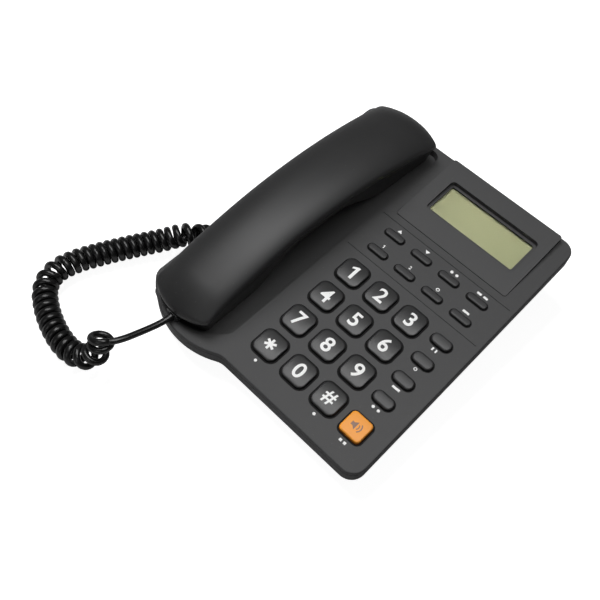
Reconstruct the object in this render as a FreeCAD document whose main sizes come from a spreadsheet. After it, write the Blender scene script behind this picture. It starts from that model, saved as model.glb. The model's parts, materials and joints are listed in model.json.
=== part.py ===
"""Corded desk telephone: wedge base, arched handset in its cradle, dialling keys, display panel, curly cord.

Lengths are in millimetres. Most pieces are drawn in the deck frame, which is carried into place by one
placement: u runs to the right, v up the sloping deck to the back, and w square to the deck. The middle
dialling key stands at its origin. Feet, loudspeaker and cord are drawn in the frame of the desk itself.
"""
import FreeCAD, Part
import math
import os
import Sketcher

V = FreeCAD.Vector

SIZES = [
    ("tilt", 5, "slope of the deck, degrees"),
    ("deck_x", 20.4, "middle key, from the middle of the base to the right"),
    ("deck_y", -29.915, "middle key, from the middle of the base to the back"),
    ("deck_z", 27.93, "height of the deck at the middle key"),
    ("base_left", -102, "left edge of the base"),
    ("base_right", 61.2, "right edge of the base"),
    ("base_front", -68, "straight front edge of the base"),
    ("base_back", 134.6, "back edge of the base"),
    ("base_corner", 9, "corner radius of the base, seen from above"),
    ("lobe_radius", 50, "radius of the bulge in front of the handset"),
    ("lobe_u", -63.5, "centre of the bulge"),
    ("lobe_v", -25.5, "centre of the bulge"),
    ("lobe_hollow", 12, "hollow arc between the bulge and the front edge"),
    ("plate", 2.6, "thickness of the deck"),
    ("edge_round", 1.0, "rounding of the deck's edge"),
    ("seam", 0.5, "gap between deck and bottom cover"),
    ("slack", 0.3, "clear gap between pieces that must not touch"),
    ("fit", 0.1, "gap between pieces that are fitted together"),
    ("wall", 2.2, "wall of the bottom cover"),
    ("wall_foot", 10, "depth where the side wall turns under"),
    ("ledge", 2, "thickness of the turn under the side wall"),
    ("tub_inset", 2.5, "step from the side wall in to the tub"),
    ("tub_left", -93, "tub at the desk, left"),
    ("tub_right", 50.8, "tub at the desk, right"),
    ("tub_front", -60.5, "tub at the desk, front"),
    ("tub_back", 120.6, "tub at the desk, back"),
    ("tub_drop", 25.73, "tub floor below the middle key, upright"),
    ("foot_height", 2.2, "rubber foot"),
    ("foot_radius", 6, "rubber foot"),
    ("pan_left", -95.6, "cradle pan, left"),
    ("pan_right", -42.2, "cradle pan, right"),
    ("pan_back", 130.6, "cradle pan, back"),
    ("pan_corner", 6, "corner radius of the pan"),
    ("pan_depth", 4.2, "depth of the pan"),
    ("pan_slope", 10, "lean of the pan's walls, degrees"),
    ("pan_wall", 1.2, "wall of the pan"),
    ("end_u", -72, "centre of the handset's end arc"),
    ("end_v", -35, "centre of the handset's end arc"),
    ("pan_arc", 35.5, "front arc of the pan"),
    ("key_pitch_u", 22, "dialling keys, side to side"),
    ("key_pitch_v", 22.4, "dialling keys, front to back"),
    ("key_side", 15.8, "dialling key across"),
    ("key_corner", 4, "corner radius of a dialling key"),
    ("key_rise", 2.5, "dialling key above the deck"),
    ("key_round", 1.2, "rounding of a key's top edge"),
    ("key_gap", 0.45, "gap round a key"),
    ("flange", 1.1, "flange that keeps a key in"),
    ("flange_thick", 1.0, "flange that keeps a key in"),
    ("bar_length", 13.6, "function key across"),
    ("bar_depth", 4.8, "function key front to back"),
    ("bar_corner", 2.2, "corner radius of a function key"),
    ("bar_rise", 1.8, "function key above the deck"),
    ("bar_u", -22, "first function key"),
    ("bar_v", 44.9, "front row of function keys"),
    ("bar_pitch_u", 20.85, "function keys, side to side"),
    ("bar_pitch_v", 15.6, "rows of function keys"),
    ("side_u", 43, "side keys"),
    ("side_v", 24.6, "hindmost side key"),
    ("side_pitch", 16.45, "side keys, front to back"),
    ("side_length", 13.2, "side key across"),
    ("side_depth", 7.4, "side key front to back"),
    ("side_corner", 3.4, "corner radius of a side key"),
    ("side_rise", 2.2, "side key above the deck"),
    ("free_u", 42.8, "hands-free key"),
    ("free_v", -46.4, "hands-free key"),
    ("free_side", 14.6, "hands-free key across"),
    ("free_corner", 2.8, "corner radius of the hands-free key"),
    ("groove_wide", 0.9, "decorative groove"),
    ("groove_deep", 0.4, "decorative groove"),
    ("groove_short", 7, "groove shorter than the deck beside the cradle"),
    ("groove_front_v", 36.8, "groove behind the dialling keys"),
    ("groove_back_v", 69.2, "groove in front of the display panel"),
    ("panel_left", -33.4, "display panel"),
    ("panel_right", 50.4, "display panel"),
    ("panel_front", 74.6, "display panel"),
    ("panel_back", 133, "display panel"),
    ("panel_corner", 2, "corner radius of the display panel"),
    ("panel_sink", 1.2, "depth that the panel is let into the deck"),
    ("panel_front_rise", 0.2, "display panel above the deck, front"),
    ("panel_back_rise", 3.2, "display panel above the deck, back"),
    ("panel_gap", 0.3, "gap round the panel"),
    ("screen_left", -21.4, "visible screen"),
    ("screen_right", 41.2, "visible screen"),
    ("screen_front", 92.8, "visible screen"),
    ("screen_back", 116.8, "visible screen"),
    ("screen_corner", 1, "corner radius of the screen opening"),
    ("screen_step", 2, "step round the screen opening"),
    ("screen_border", 5, "window and module beyond the visible screen"),
    ("window_thick", 1.1, "clear window"),
    ("module_thick", 4, "display module"),
    ("membrane_top", 5.9, "keypad membrane below the deck"),
    ("membrane_thick", 1.2, "keypad membrane"),
    ("board_top", 7.3, "circuit board below the deck"),
    ("board_thick", 1.6, "circuit board"),
    ("board_left", -38.6, "circuit board"),
    ("board_right", 53.2, "circuit board"),
    ("board_front", -52, "circuit board"),
    ("board_back", 73, "circuit board"),
    ("membrane_left", -29, "keypad membrane"),
    ("membrane_right", 47.8, "keypad membrane"),
    ("membrane_front", -51.4, "keypad membrane"),
    ("membrane_back", 67.5, "keypad membrane"),
    ("boss_radius", 2.2, "board boss"),
    ("post_radius", 2.8, "housing post"),
    ("screw_radius", 1.3, "screw shank"),
    ("screw_head", 2.6, "screw head radius"),
    ("screw_head_high", 1.5, "screw head"),
    ("board_screw_long", 5, "board screw"),
    ("housing_screw_long", 9, "housing screw"),
    ("handset_screw_long", 12, "handset screw"),
    ("plunger_u", -72, "hook plunger"),
    ("plunger_v", 100, "hook plunger"),
    ("plunger_radius", 3.2, "hook plunger"),
    ("plunger_long", 9.5, "hook plunger"),
    ("plunger_collar", 4.6, "collar radius of the plunger"),
    ("collar_high", 1.5, "collar of the plunger"),
    ("hook_rise", 3, "rise of the hook plunger"),
    ("switch_top", 20, "hook switch below the deck"),
    ("switch_high", 11.2, "hook switch"),
    ("switch_wide", 12, "hook switch"),
    ("switch_long", 16, "hook switch"),
    ("grip_left", -93.2, "handset top shell"),
    ("grip_right", -50.8, "handset top shell"),
    ("grip_back", 131, "handset, back end"),
    ("grip_corner", 13, "corner radius of the handset's back end"),
    ("grip_end", 36, "front arc of the handset"),
    ("arch_v", 32, "highest point of the handset's arch"),
    ("arch_peak", 22.5, "height of the shells' seam at the peak of the arch"),
    ("arch_radius", 345, "radius of the arch along the seam"),
    ("crown", 9.5, "top shell above the seam"),
    ("crown_round", 6, "rounding of the top shell's edge"),
    ("shell", 2, "wall of the handset shells"),
    ("shell_gap", 0.4, "gap between the handset shells"),
    ("undercut", 2.5, "bottom shell inside the top shell"),
    ("grip_thick", 11, "grip below the seam"),
    ("grip_hollow_front", -27, "front end of the finger hollow"),
    ("grip_hollow_back", 80, "back end of the finger hollow"),
    ("cup_foot", 3.9, "cups below the deck"),
    ("receiver_v", 103, "receiver capsule"),
    ("receiver_radius", 16, "receiver capsule"),
    ("receiver_high", 8, "receiver capsule"),
    ("mic_v", -42, "handset microphone"),
    ("mic_radius", 5, "handset microphone"),
    ("mic_high", 5, "handset microphone"),
    ("weight_v", 33, "steel weight in the grip"),
    ("weight_wide", 16, "steel weight in the grip"),
    ("weight_long", 26, "steel weight in the grip"),
    ("weight_high", 6, "steel weight in the grip"),
    ("shell_boss", 3.2, "screw boss in the handset"),
    ("jack_wide", 11.2, "cord jack"),
    ("jack_high", 9.2, "cord jack"),
    ("jack_deep", 15, "cord jack"),
    ("jack_bore", 12, "depth of a cord jack's socket"),
    ("door_corner", 0.5, "corner radius of a jack's opening"),
    ("plug_wide", 7.6, "modular plug"),
    ("plug_high", 5.8, "modular plug"),
    ("plug_long", 13, "modular plug"),
    ("plug_out", 3, "length of the plug that stands out of its jack"),
    ("plug_w", 3.2, "handset plug above the deck"),
    ("base_jack_v", -10, "base jack along the left side"),
    ("base_jack_w", -16, "base jack below the deck"),
    ("base_jack_mouth", -98, "mouth of the base jack"),
    ("line_jack_u", -10, "line jack along the back"),
    ("line_jack_w", -19, "line jack below the deck"),
    ("line_jack_wide", 13.4, "line jack"),
    ("line_jack_high", 12.4, "line jack"),
    ("line_jack_deep", 17, "line jack"),
    ("line_jack_mouth", 129.1, "mouth of the line jack"),
    ("socket_wide", 9.8, "line socket"),
    ("socket_high", 7.2, "line socket"),
    ("socket_deep", 12, "line socket"),
    ("free_mic_u", 8, "hands-free microphone"),
    ("free_mic_v", -60.4, "hands-free microphone"),
    ("free_mic_radius", 4, "hands-free microphone"),
    ("free_mic_high", 4, "hands-free microphone"),
    ("speaker_u", 5, "loudspeaker"),
    ("speaker_v", 35, "loudspeaker"),
    ("speaker_radius", 25, "loudspeaker"),
    ("speaker_frame", 5, "loudspeaker frame"),
    ("magnet_radius", 14, "loudspeaker magnet"),
    ("magnet_high", 6, "loudspeaker magnet"),
    ("slot_long", 34, "sound slot"),
    ("slot_wide", 2, "sound slot"),
    ("slot_corner", 0.9, "corner radius of a sound slot"),
    ("slot_pitch", 6, "sound slots"),
    ("wire", 3.8, "cord"),
    ("coil_outer", 14.8, "curls across"),
    ("curl_pitch", 4.35, "curl to curl on a straight stretch"),
    ("curl_gap", 0.6, "least gap between curls on the inside of a bend"),
    ("spring_radius", 3.9, "hook spring, middle of its wire"),
    ("spring_wire", 0.6, "hook spring"),
    ("spring_turns", 5, "hook spring"),
]

doc = FreeCAD.newDocument("desk_phone")
sheet = doc.addObject("Spreadsheet::Sheet", "Sizes")
for row, (alias, value, meaning) in enumerate(SIZES, 1):
    sheet.set(f"A{row}", meaning)
    sheet.set(f"B{row}", str(value))
    sheet.setAlias(f"B{row}", alias)
doc.recompute()


class Dim:
    """A length that carries both its value and the sheet expression that gives it."""

    def __init__(self, text, value):
        self.text = text
        self.value = value

    def __add__(self, other):
        other = as_dim(other)
        return Dim(f"({self.text} + {other.text})", self.value + other.value)

    def __sub__(self, other):
        other = as_dim(other)
        return Dim(f"({self.text} - {other.text})", self.value - other.value)

    def __mul__(self, other):
        other = as_dim(other)
        return Dim(f"({self.text} * {other.text})", self.value * other.value)

    def __rsub__(self, other):
        return as_dim(other) - self

    def __neg__(self):
        return Dim(f"(-{self.text})", -self.value)

    __rmul__ = __mul__
    __radd__ = __add__


def as_dim(number):
    return number if isinstance(number, Dim) else Dim(str(number), float(number))


def dim(alias):
    return Dim(f"Sizes.{alias}", float(sheet.get(alias)))


def size(alias):
    return float(sheet.get(alias))


DECK = FreeCAD.Placement(V(size("deck_x"), size("deck_y"), size("deck_z")),
                         FreeCAD.Rotation(V(1, 0, 0), size("tilt")))
parts = []


def new_body(label, placement=DECK):
    body = doc.addObject("PartDesign::Body", label)
    body.Placement = placement
    parts.append(body)
    return body


def plane(body, role):
    return next(f for f in body.Origin.OriginFeatures if f.Role == role)


def new_sketch(body, height, role="XY_Plane", turn=None):
    sketch = body.newObject("Sketcher::SketchObject", body.Name + "_sketch")
    sketch.AttachmentSupport = [(plane(body, role), "")]
    sketch.MapMode = "FlatFace"
    if turn:
        sketch.AttachmentOffset = FreeCAD.Placement(V(0, 0, 0), turn)
    sketch.setExpression("AttachmentOffset.Base.z", as_dim(height).text)
    return sketch


def hold(sketch, constraints):
    """Adds constraints; each one given with a length is bound to its sheet expression."""
    for number, entry in enumerate(constraints):
        kind, places, length = entry
        if length is None:
            sketch.addConstraint(Sketcher.Constraint(kind, *places))
        else:
            index = sketch.addConstraint(Sketcher.Constraint(kind, *places, length.value))
            sketch.renameConstraint(index, f"bound{number}")
            sketch.setExpression(f"Constraints.bound{number}", length.text)


QUARTER = math.pi / 2


def line(u, v, to_u, to_v):
    return Part.LineSegment(V(u, v, 0), V(to_u, to_v, 0))


def arc(u, v, radius, start, end):
    """Arc about a centre, between two angles."""
    return Part.ArcOfCircle(Part.Circle(V(u, v, 0), V(0, 0, 1), radius), start, end)


def rounded_rectangle(sketch, left, right, front, back, corner):
    """Four lines and four tangent corner arcs."""
    a, b, c, d, r = (as_dim(x).value for x in (left, right, front, back, corner))
    sketch.addGeometry([
        line(a + r, c, b - r, c), line(b, c + r, b, d - r),
        line(b - r, d, a + r, d), line(a, d - r, a, c + r),
        arc(b - r, c + r, r, -QUARTER, 0), arc(b - r, d - r, r, 0, QUARTER),
        arc(a + r, d - r, r, QUARTER, 2 * QUARTER), arc(a + r, c + r, r, 2 * QUARTER, 3 * QUARTER)], False)
    hold(sketch, [
        ("Tangent", (0, 2, 4, 1), None), ("Tangent", (4, 2, 1, 1), None),
        ("Tangent", (1, 2, 5, 1), None), ("Tangent", (5, 2, 2, 1), None),
        ("Tangent", (2, 2, 6, 1), None), ("Tangent", (6, 2, 3, 1), None),
        ("Tangent", (3, 2, 7, 1), None), ("Tangent", (7, 2, 0, 1), None),
        ("Horizontal", (0,), None), ("Vertical", (1,), None),
        ("Horizontal", (2,), None), ("Vertical", (3,), None),
        ("Equal", (4, 5), None), ("Equal", (4, 6), None), ("Equal", (4, 7), None),
        ("Radius", (4,), as_dim(corner)),
        ("DistanceX", (-1, 1, 3, 1), as_dim(left)), ("DistanceX", (-1, 1, 1, 1), as_dim(right)),
        ("DistanceY", (-1, 1, 0, 1), as_dim(front)), ("DistanceY", (-1, 1, 2, 1), as_dim(back))])
    return sketch


def base_outline(sketch, step=0):
    """The base from above, moved in by a step: straight sides, round corners, and a bulge in front of the
    handset that runs smoothly into the left corner and, through a hollow arc, into the front edge."""
    step = as_dim(step)
    left, right = dim("base_left") + step, dim("base_right") - step
    front, back = dim("base_front") + step, dim("base_back") - step
    corner, bulge, hollow = dim("base_corner") - step, dim("lobe_radius") - step, dim("lobe_hollow") + step
    a, b, c, d = left.value, right.value, front.value, back.value
    r, big, dip = corner.value, bulge.value, hollow.value
    lu, lv = size("lobe_u"), size("lobe_v")
    nook_u = a + r
    nook_v = lv - math.sqrt((big - r) ** 2 - (nook_u - lu) ** 2)
    dip_v = c - dip
    dip_u = lu + math.sqrt((big + dip) ** 2 - (lv - dip_v) ** 2)
    nook_turn = math.atan2(nook_v - lv, nook_u - lu)
    dip_turn = math.atan2(dip_v - lv, dip_u - lu)
    sketch.addGeometry([
        line(dip_u, c, b - r, c), arc(b - r, c + r, r, -QUARTER, 0),
        line(b, c + r, b, d - r), arc(b - r, d - r, r, 0, QUARTER),
        line(b - r, d, a + r, d), arc(a + r, d - r, r, QUARTER, 2 * QUARTER),
        line(a, d - r, a, nook_v), arc(nook_u, nook_v, r, 2 * QUARTER, nook_turn + 4 * QUARTER),
        arc(lu, lv, big, nook_turn, dip_turn),
        arc(dip_u, dip_v, dip, QUARTER, dip_turn + 2 * QUARTER)], False)
    joints = [(0, 2, 1, 1), (1, 2, 2, 1), (2, 2, 3, 1), (3, 2, 4, 1), (4, 2, 5, 1), (5, 2, 6, 1),
              (6, 2, 7, 1), (7, 2, 8, 1), (8, 2, 9, 2), (9, 1, 0, 1)]
    hold(sketch, [("Tangent", places, None) for places in joints] + [
        ("Horizontal", (0,), None), ("Vertical", (2,), None), ("Horizontal", (4,), None),
        ("Vertical", (6,), None), ("Equal", (1, 3), None), ("Equal", (1, 5), None), ("Equal", (1, 7), None),
        ("Radius", (1,), corner), ("Radius", (8,), bulge), ("Radius", (9,), hollow),
        ("DistanceX", (-1, 1, 6, 1), left), ("DistanceX", (-1, 1, 2, 1), right),
        ("DistanceY", (-1, 1, 0, 1), front), ("DistanceY", (-1, 1, 4, 1), back),
        ("DistanceX", (-1, 1, 8, 3), dim("lobe_u")), ("DistanceY", (-1, 1, 8, 3), dim("lobe_v"))])
    return sketch


def pan_outline(sketch, step=0):
    """The cradle pan from above, moved in by a step: straight sides and back, and an arc at the front that
    runs smoothly into two round corners."""
    step = as_dim(step)
    left, right, back = dim("pan_left") + step, dim("pan_right") - step, dim("pan_back") - step
    corner, nose = dim("pan_corner") - step, dim("pan_arc") - step
    a, b, d, r, big = left.value, right.value, back.value, corner.value, nose.value
    eu, ev = size("end_u"), size("end_v")
    left_v = ev - math.sqrt((big - r) ** 2 - (a + r - eu) ** 2)
    right_v = ev - math.sqrt((big - r) ** 2 - (b - r - eu) ** 2)
    left_turn = math.atan2(left_v - ev, a + r - eu)
    right_turn = math.atan2(right_v - ev, b - r - eu)
    sketch.addGeometry([
        line(b, right_v, b, d - r), arc(b - r, d - r, r, 0, QUARTER),
        line(b - r, d, a + r, d), arc(a + r, d - r, r, QUARTER, 2 * QUARTER),
        line(a, d - r, a, left_v), arc(a + r, left_v, r, 2 * QUARTER, left_turn + 4 * QUARTER),
        arc(eu, ev, big, left_turn, right_turn), arc(b - r, right_v, r, right_turn, 0)], False)
    hold(sketch, [("Tangent", (i, 2, (i + 1) % 8, 1), None) for i in range(8)] + [
        ("Vertical", (0,), None), ("Horizontal", (2,), None), ("Vertical", (4,), None),
        ("Equal", (1, 3), None), ("Equal", (1, 5), None), ("Equal", (1, 7), None),
        ("Radius", (1,), corner), ("Radius", (6,), nose),
        ("DistanceX", (-1, 1, 4, 1), left), ("DistanceX", (-1, 1, 0, 1), right),
        ("DistanceY", (-1, 1, 2, 1), back),
        ("DistanceX", (-1, 1, 6, 3), dim("end_u")), ("DistanceY", (-1, 1, 6, 3), dim("end_v"))])
    return sketch


def circle(sketch, u, v, radius):
    sketch.addGeometry(Part.Circle(V(as_dim(u).value, as_dim(v).value, 0), V(0, 0, 1), as_dim(radius).value),
                       False)
    hold(sketch, [("Radius", (0,), as_dim(radius)), ("DistanceX", (-1, 1, 0, 3), as_dim(u)),
                  ("DistanceY", (-1, 1, 0, 3), as_dim(v))])
    return sketch


def polygon(sketch, corners):
    """Straight-sided outline through corners given as pairs of lengths."""
    points = [V(as_dim(x).value, as_dim(y).value, 0) for x, y in corners]
    count = len(points)
    sketch.addGeometry([Part.LineSegment(points[i], points[(i + 1) % count]) for i in range(count)], False)
    rules = [("Coincident", (i, 2, (i + 1) % count, 1), None) for i in range(count)]
    for i, (x, y) in enumerate(corners):
        rules.append(("DistanceX", (-1, 1, i, 1), as_dim(x)))
        rules.append(("DistanceY", (-1, 1, i, 1), as_dim(y)))
    hold(sketch, rules)
    return sketch


def pad(body, sketch, length, down=False, both_ways=False):
    feature = body.newObject("PartDesign::Pad", body.Name + "_pad")
    feature.Profile = sketch
    feature.setExpression("Length", as_dim(length).text)
    feature.Reversed = down
    feature.SideType = "Symmetric" if both_ways else "One side"
    return feature


def pocket(body, sketch, depth, up=False, slope=None, both_ways=False):
    feature = body.newObject("PartDesign::Pocket", body.Name + "_pocket")
    feature.Profile = sketch
    feature.setExpression("Length", as_dim(depth).text)
    feature.Reversed = up
    feature.SideType = "Symmetric" if both_ways else "One side"
    if slope:
        feature.setExpression("TaperAngle", as_dim(slope).text)
    return feature


def pattern(body, original, sketch, axis, pitch, count):
    """Repeats a feature along one of its sketch's axes."""
    feature = body.newObject("PartDesign::LinearPattern", body.Name + "_pattern")
    feature.Originals = [original]
    feature.Direction = (sketch, [axis])
    feature.Mode = "Spacing"
    feature.setExpression("Offset", as_dim(pitch).text)
    feature.Occurrences = count
    body.Tip = feature
    return feature


def round_top(body, feature, radius):
    """Rounds every edge of the feature's highest flat face."""
    doc.recompute()
    faces = feature.Shape.Faces
    top = max(range(len(faces)), key=lambda i: faces[i].CenterOfMass.z)
    fillet = body.newObject("PartDesign::Fillet", body.Name + "_round")
    fillet.Base = (feature, [f"Face{top + 1}"])
    fillet.setExpression("Radius", as_dim(radius).text)
    return fillet


def box(label, left, right, front, back, low, high, placement=DECK, keep=True):
    """A block between six planes."""
    solid = doc.addObject("Part::Box", label)
    left, right, front, back, low, high = (as_dim(x) for x in (left, right, front, back, low, high))
    solid.setExpression("Length", (right - left).text)
    solid.setExpression("Width", (back - front).text)
    solid.setExpression("Height", (high - low).text)
    corner = V(left.value, front.value, low.value)
    solid.Placement = placement.multiply(FreeCAD.Placement(corner, FreeCAD.Rotation()))
    if keep:
        parts.append(solid)
    return solid


def cylinder(label, u, v, low, radius, height, placement=DECK, turn=FreeCAD.Rotation(), keep=True):
    solid = doc.addObject("Part::Cylinder", label)
    solid.setExpression("Radius", as_dim(radius).text)
    solid.setExpression("Height", as_dim(height).text)
    base = V(as_dim(u).value, as_dim(v).value, as_dim(low).value)
    solid.Placement = placement.multiply(FreeCAD.Placement(base, turn))
    if keep:
        parts.append(solid)
    return solid


def fuse(label, pieces, keep=True):
    solid = doc.addObject("Part::MultiFuse", label)
    solid.Shapes = pieces
    if keep:
        parts.append(solid)
    return solid


def common(label, pieces, keep=False):
    solid = doc.addObject("Part::MultiCommon", label)
    solid.Shapes = pieces
    if keep:
        parts.append(solid)
    return solid


def cut(label, base, tool, keep=True):
    solid = doc.addObject("Part::Cut", label)
    solid.Base = base
    solid.Tool = tool
    if keep:
        parts.append(solid)
    return solid


def group(label, pieces):
    solid = doc.addObject("Part::Compound", label)
    solid.Links = pieces
    parts.append(solid)
    return solid


# Driving lengths that several pieces share
plate = dim("plate")
wall = dim("wall")
wall_foot = dim("wall_foot")
BASE = (dim("base_left"), dim("base_right"), dim("base_front"), dim("base_back"), dim("base_corner"))
PANEL = (dim("panel_left"), dim("panel_right"), dim("panel_front"), dim("panel_back"), dim("panel_corner"))
SCREEN = (dim("screen_left"), dim("screen_right"), dim("screen_front"), dim("screen_back"),
          dim("screen_corner"))
slack = dim("slack")
fit = dim("fit")
collar_foot = dim("pan_depth") + dim("pan_wall") + dim("hook_rise") + slack + fit + dim("collar_high")
BOARD_SCREWS = [(-35.2, -38), (-31.8, 70.3), (50.5, -34.8), (50.5, 70.3)]
# Housing posts: u, v and depth of the post's end below the deck
POSTS = [(28, -57.3, 15), (-37.4, -55.5, 16), (40, 80.5, 28), (-36, 110, 30)]
HANDSET_SCREWS = [-14, 70]
# Cutting tools run past the piece that they cut
CUT_PAST = 0.5
FAR_PAST = 10
# Upright prisms for the handset end below its cups and above its crown
TOOL_LOW = -10
TOOL_HIGH = 45


def inset(outline, by):
    """A rounded rectangle moved in on every side; a negative step moves it out."""
    left, right, front, back, corner = outline
    return left + by, right - by, front + by, back - by, corner - by


def around(u, v, wide, deep, corner):
    """A rounded rectangle about its middle."""
    u, v, wide, deep = (as_dim(x) for x in (u, v, wide, deep))
    return u - wide * 0.5, u + wide * 0.5, v - deep * 0.5, v + deep * 0.5, as_dim(corner)


def ring(sketch, u, v, outer, inner):
    centre = V(as_dim(u).value, as_dim(v).value, 0)
    sketch.addGeometry([Part.Circle(centre, V(0, 0, 1), r.value) for r in (outer, inner)], False)
    hold(sketch, [("Coincident", (0, 3, 1, 3), None), ("Radius", (0,), outer), ("Radius", (1,), inner),
                  ("DistanceX", (-1, 1, 0, 3), as_dim(u)), ("DistanceY", (-1, 1, 0, 3), as_dim(v))])
    return sketch


def key_opening(body, u, v, wide, deep, corner):
    gap = dim("key_gap")
    outline = inset(around(u, v, wide, deep, corner), -gap)
    sketch = rounded_rectangle(new_sketch(body, 0), *outline)
    return pocket(body, sketch, plate + CUT_PAST), sketch


def top_housing():
    """Deck plate with key openings, cradle pan, bosses and posts."""
    body = new_body("top_housing")
    deck = pad(body, base_outline(new_sketch(body, -plate)), plate)
    round_top(body, deck, dim("edge_round"))
    pan_low = -(dim("pan_depth") + dim("pan_wall"))
    pan_skirt = dim("pan_depth") + dim("pan_wall") - plate
    pad(body, pan_outline(new_sketch(body, pan_low), -dim("pan_wall")), pan_skirt)
    pocket(body, pan_outline(new_sketch(body, 0)), dim("pan_depth"), slope=-dim("pan_slope"))
    pocket(body, rounded_rectangle(new_sketch(body, 0), *PANEL), dim("panel_sink"))
    left, right, front, back, _ = inset(SCREEN, -(dim("screen_border") + slack))
    pocket(body, rounded_rectangle(new_sketch(body, 0), left, right, front, back, dim("screen_corner")),
           plate + CUT_PAST)
    key_side = dim("key_side")
    for row in range(4):
        first, sketch = key_opening(body, -dim("key_pitch_u"), dim("key_pitch_v") * (row - 2),
                                    key_side, key_side, dim("key_corner"))
        pattern(body, first, sketch, "H_Axis", dim("key_pitch_u"), 3)
    for row in range(2):
        first, sketch = key_opening(body, dim("bar_u"), dim("bar_v") + dim("bar_pitch_v") * row,
                                    dim("bar_length"), dim("bar_depth"), dim("bar_corner"))
        pattern(body, first, sketch, "H_Axis", dim("bar_pitch_u"), 4)
    first, sketch = key_opening(body, dim("side_u"), dim("side_v") - dim("side_pitch") * 3,
                                dim("side_length"), dim("side_depth"), dim("side_corner"))
    pattern(body, first, sketch, "V_Axis", dim("side_pitch"), 4)
    key_opening(body, dim("free_u"), dim("free_v"), dim("free_side"), dim("free_side"), dim("free_corner"))
    pocket(body, circle(new_sketch(body, -dim("pan_depth")), dim("plunger_u"), dim("plunger_v"),
                        dim("plunger_radius") + slack), dim("pan_wall") + CUT_PAST)
    for groove_v in ("groove_front_v", "groove_back_v"):
        middle = (dim("pan_right") + dim("base_right")) * 0.5
        length = dim("base_right") - dim("pan_right") - dim("groove_short")
        outline = around(middle, dim(groove_v), length, dim("groove_wide"), dim("groove_deep"))
        pocket(body, rounded_rectangle(new_sketch(body, 0), *outline), dim("groove_deep"))
    for u, v in BOARD_SCREWS:
        pad(body, ring(new_sketch(body, -plate), u, v, dim("boss_radius"), dim("screw_radius")),
            dim("board_top") - plate, down=True)
    for u, v, end in POSTS:
        pad(body, ring(new_sketch(body, -plate), u, v, dim("post_radius"), dim("screw_radius")),
            as_dim(end) - plate, down=True)


def loft(body, kind, lower, upper):
    feature = body.newObject(f"PartDesign::{kind}", body.Name + "_loft")
    feature.Profile = upper
    feature.Sections = [lower]
    feature.Ruled = True
    return feature


def bottom_cover():
    """Side wall under the deck's edge, and a tapering tub that stands level on the desk."""
    body = new_body("bottom_cover")
    level = FreeCAD.Rotation(V(1, 0, 0), -size("tilt"))
    rim = -(plate + dim("seam"))
    tub_foot = (dim("tub_left"), dim("tub_right"), dim("tub_front"), dim("tub_back"), dim("base_corner"))
    ledge = dim("ledge")
    pad(body, base_outline(new_sketch(body, -wall_foot)), wall_foot + rim)
    top = rounded_rectangle(new_sketch(body, -wall_foot), *inset(BASE, dim("tub_inset")))
    foot = rounded_rectangle(new_sketch(body, -dim("tub_drop"), turn=level), *tub_foot)
    loft(body, "AdditiveLoft", foot, top)
    pocket(body, base_outline(new_sketch(body, rim), wall), wall_foot + rim - ledge)
    pocket(body, pan_outline(new_sketch(body, rim), -(dim("pan_wall") + slack)),
           dim("pan_depth") + dim("pan_wall") + slack + rim)
    bay = inset(BASE, dim("tub_inset") + wall)
    pocket(body, rounded_rectangle(new_sketch(body, ledge - wall_foot), *bay), ledge)
    top = rounded_rectangle(new_sketch(body, -wall_foot), *bay)
    foot = rounded_rectangle(new_sketch(body, wall - dim("tub_drop"), turn=level), *inset(tub_foot, wall))
    loft(body, "SubtractiveLoft", foot, top)
    for u, v, end in POSTS:
        pocket(body, circle(new_sketch(body, -end - CUT_PAST), u, v, dim("screw_radius") + slack), FAR_PAST)
    slot = around(dim("speaker_u"), dim("speaker_v") - dim("slot_pitch") * 2, dim("slot_long"),
                  dim("slot_wide"), dim("slot_corner"))
    sketch = rounded_rectangle(new_sketch(body, wall - dim("tub_drop")), *slot)
    pattern(body, pocket(body, sketch, FAR_PAST), sketch, "V_Axis", dim("slot_pitch"), 5)
    door = around(dim("base_jack_v"), dim("base_jack_w"), dim("jack_wide"), dim("jack_high"),
                  dim("door_corner"))
    pocket(body, rounded_rectangle(new_sketch(body, dim("base_jack_mouth") + FAR_PAST, "YZ_Plane"),
                                   *inset(door, -slack)), 2 * FAR_PAST)
    door = around(dim("line_jack_u"), dim("line_jack_w"), dim("line_jack_wide"), dim("line_jack_high"),
                  dim("door_corner"))
    pocket(body, rounded_rectangle(new_sketch(body, FAR_PAST - dim("line_jack_mouth"), "XZ_Plane"),
                                   *inset(door, -slack)), 2 * FAR_PAST)


def display():
    """Sloping panel with a stepped screen opening, clear window and display module."""
    body = new_body("display_bezel")
    sink = dim("panel_sink")
    top = dim("panel_back_rise") + CUT_PAST
    pad(body, rounded_rectangle(new_sketch(body, -sink), *inset(PANEL, dim("panel_gap"))), sink + top)
    front, back = dim("panel_front"), dim("panel_back")
    slope = [(front, dim("panel_front_rise")), (back, dim("panel_back_rise")), (back, FAR_PAST),
             (front, FAR_PAST)]
    pocket(body, polygon(new_sketch(body, 0, "YZ_Plane"), slope), dim("base_right") * 2, both_ways=True)
    step = inset(SCREEN, -dim("screen_step"))
    pocket(body, rounded_rectangle(new_sketch(body, top), *step), top + sink * 0.3)
    pocket(body, rounded_rectangle(new_sketch(body, top), *SCREEN), top + sink + CUT_PAST)
    left, right, front, back, _ = inset(SCREEN, -dim("screen_border"))
    window_top = -(sink + fit)
    module_top = window_top - dim("window_thick") - fit
    box("display_window", left, right, front, back, module_top + fit, window_top)
    box("lcd_module", left, right, front, back, module_top - dim("module_thick"), module_top)


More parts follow.
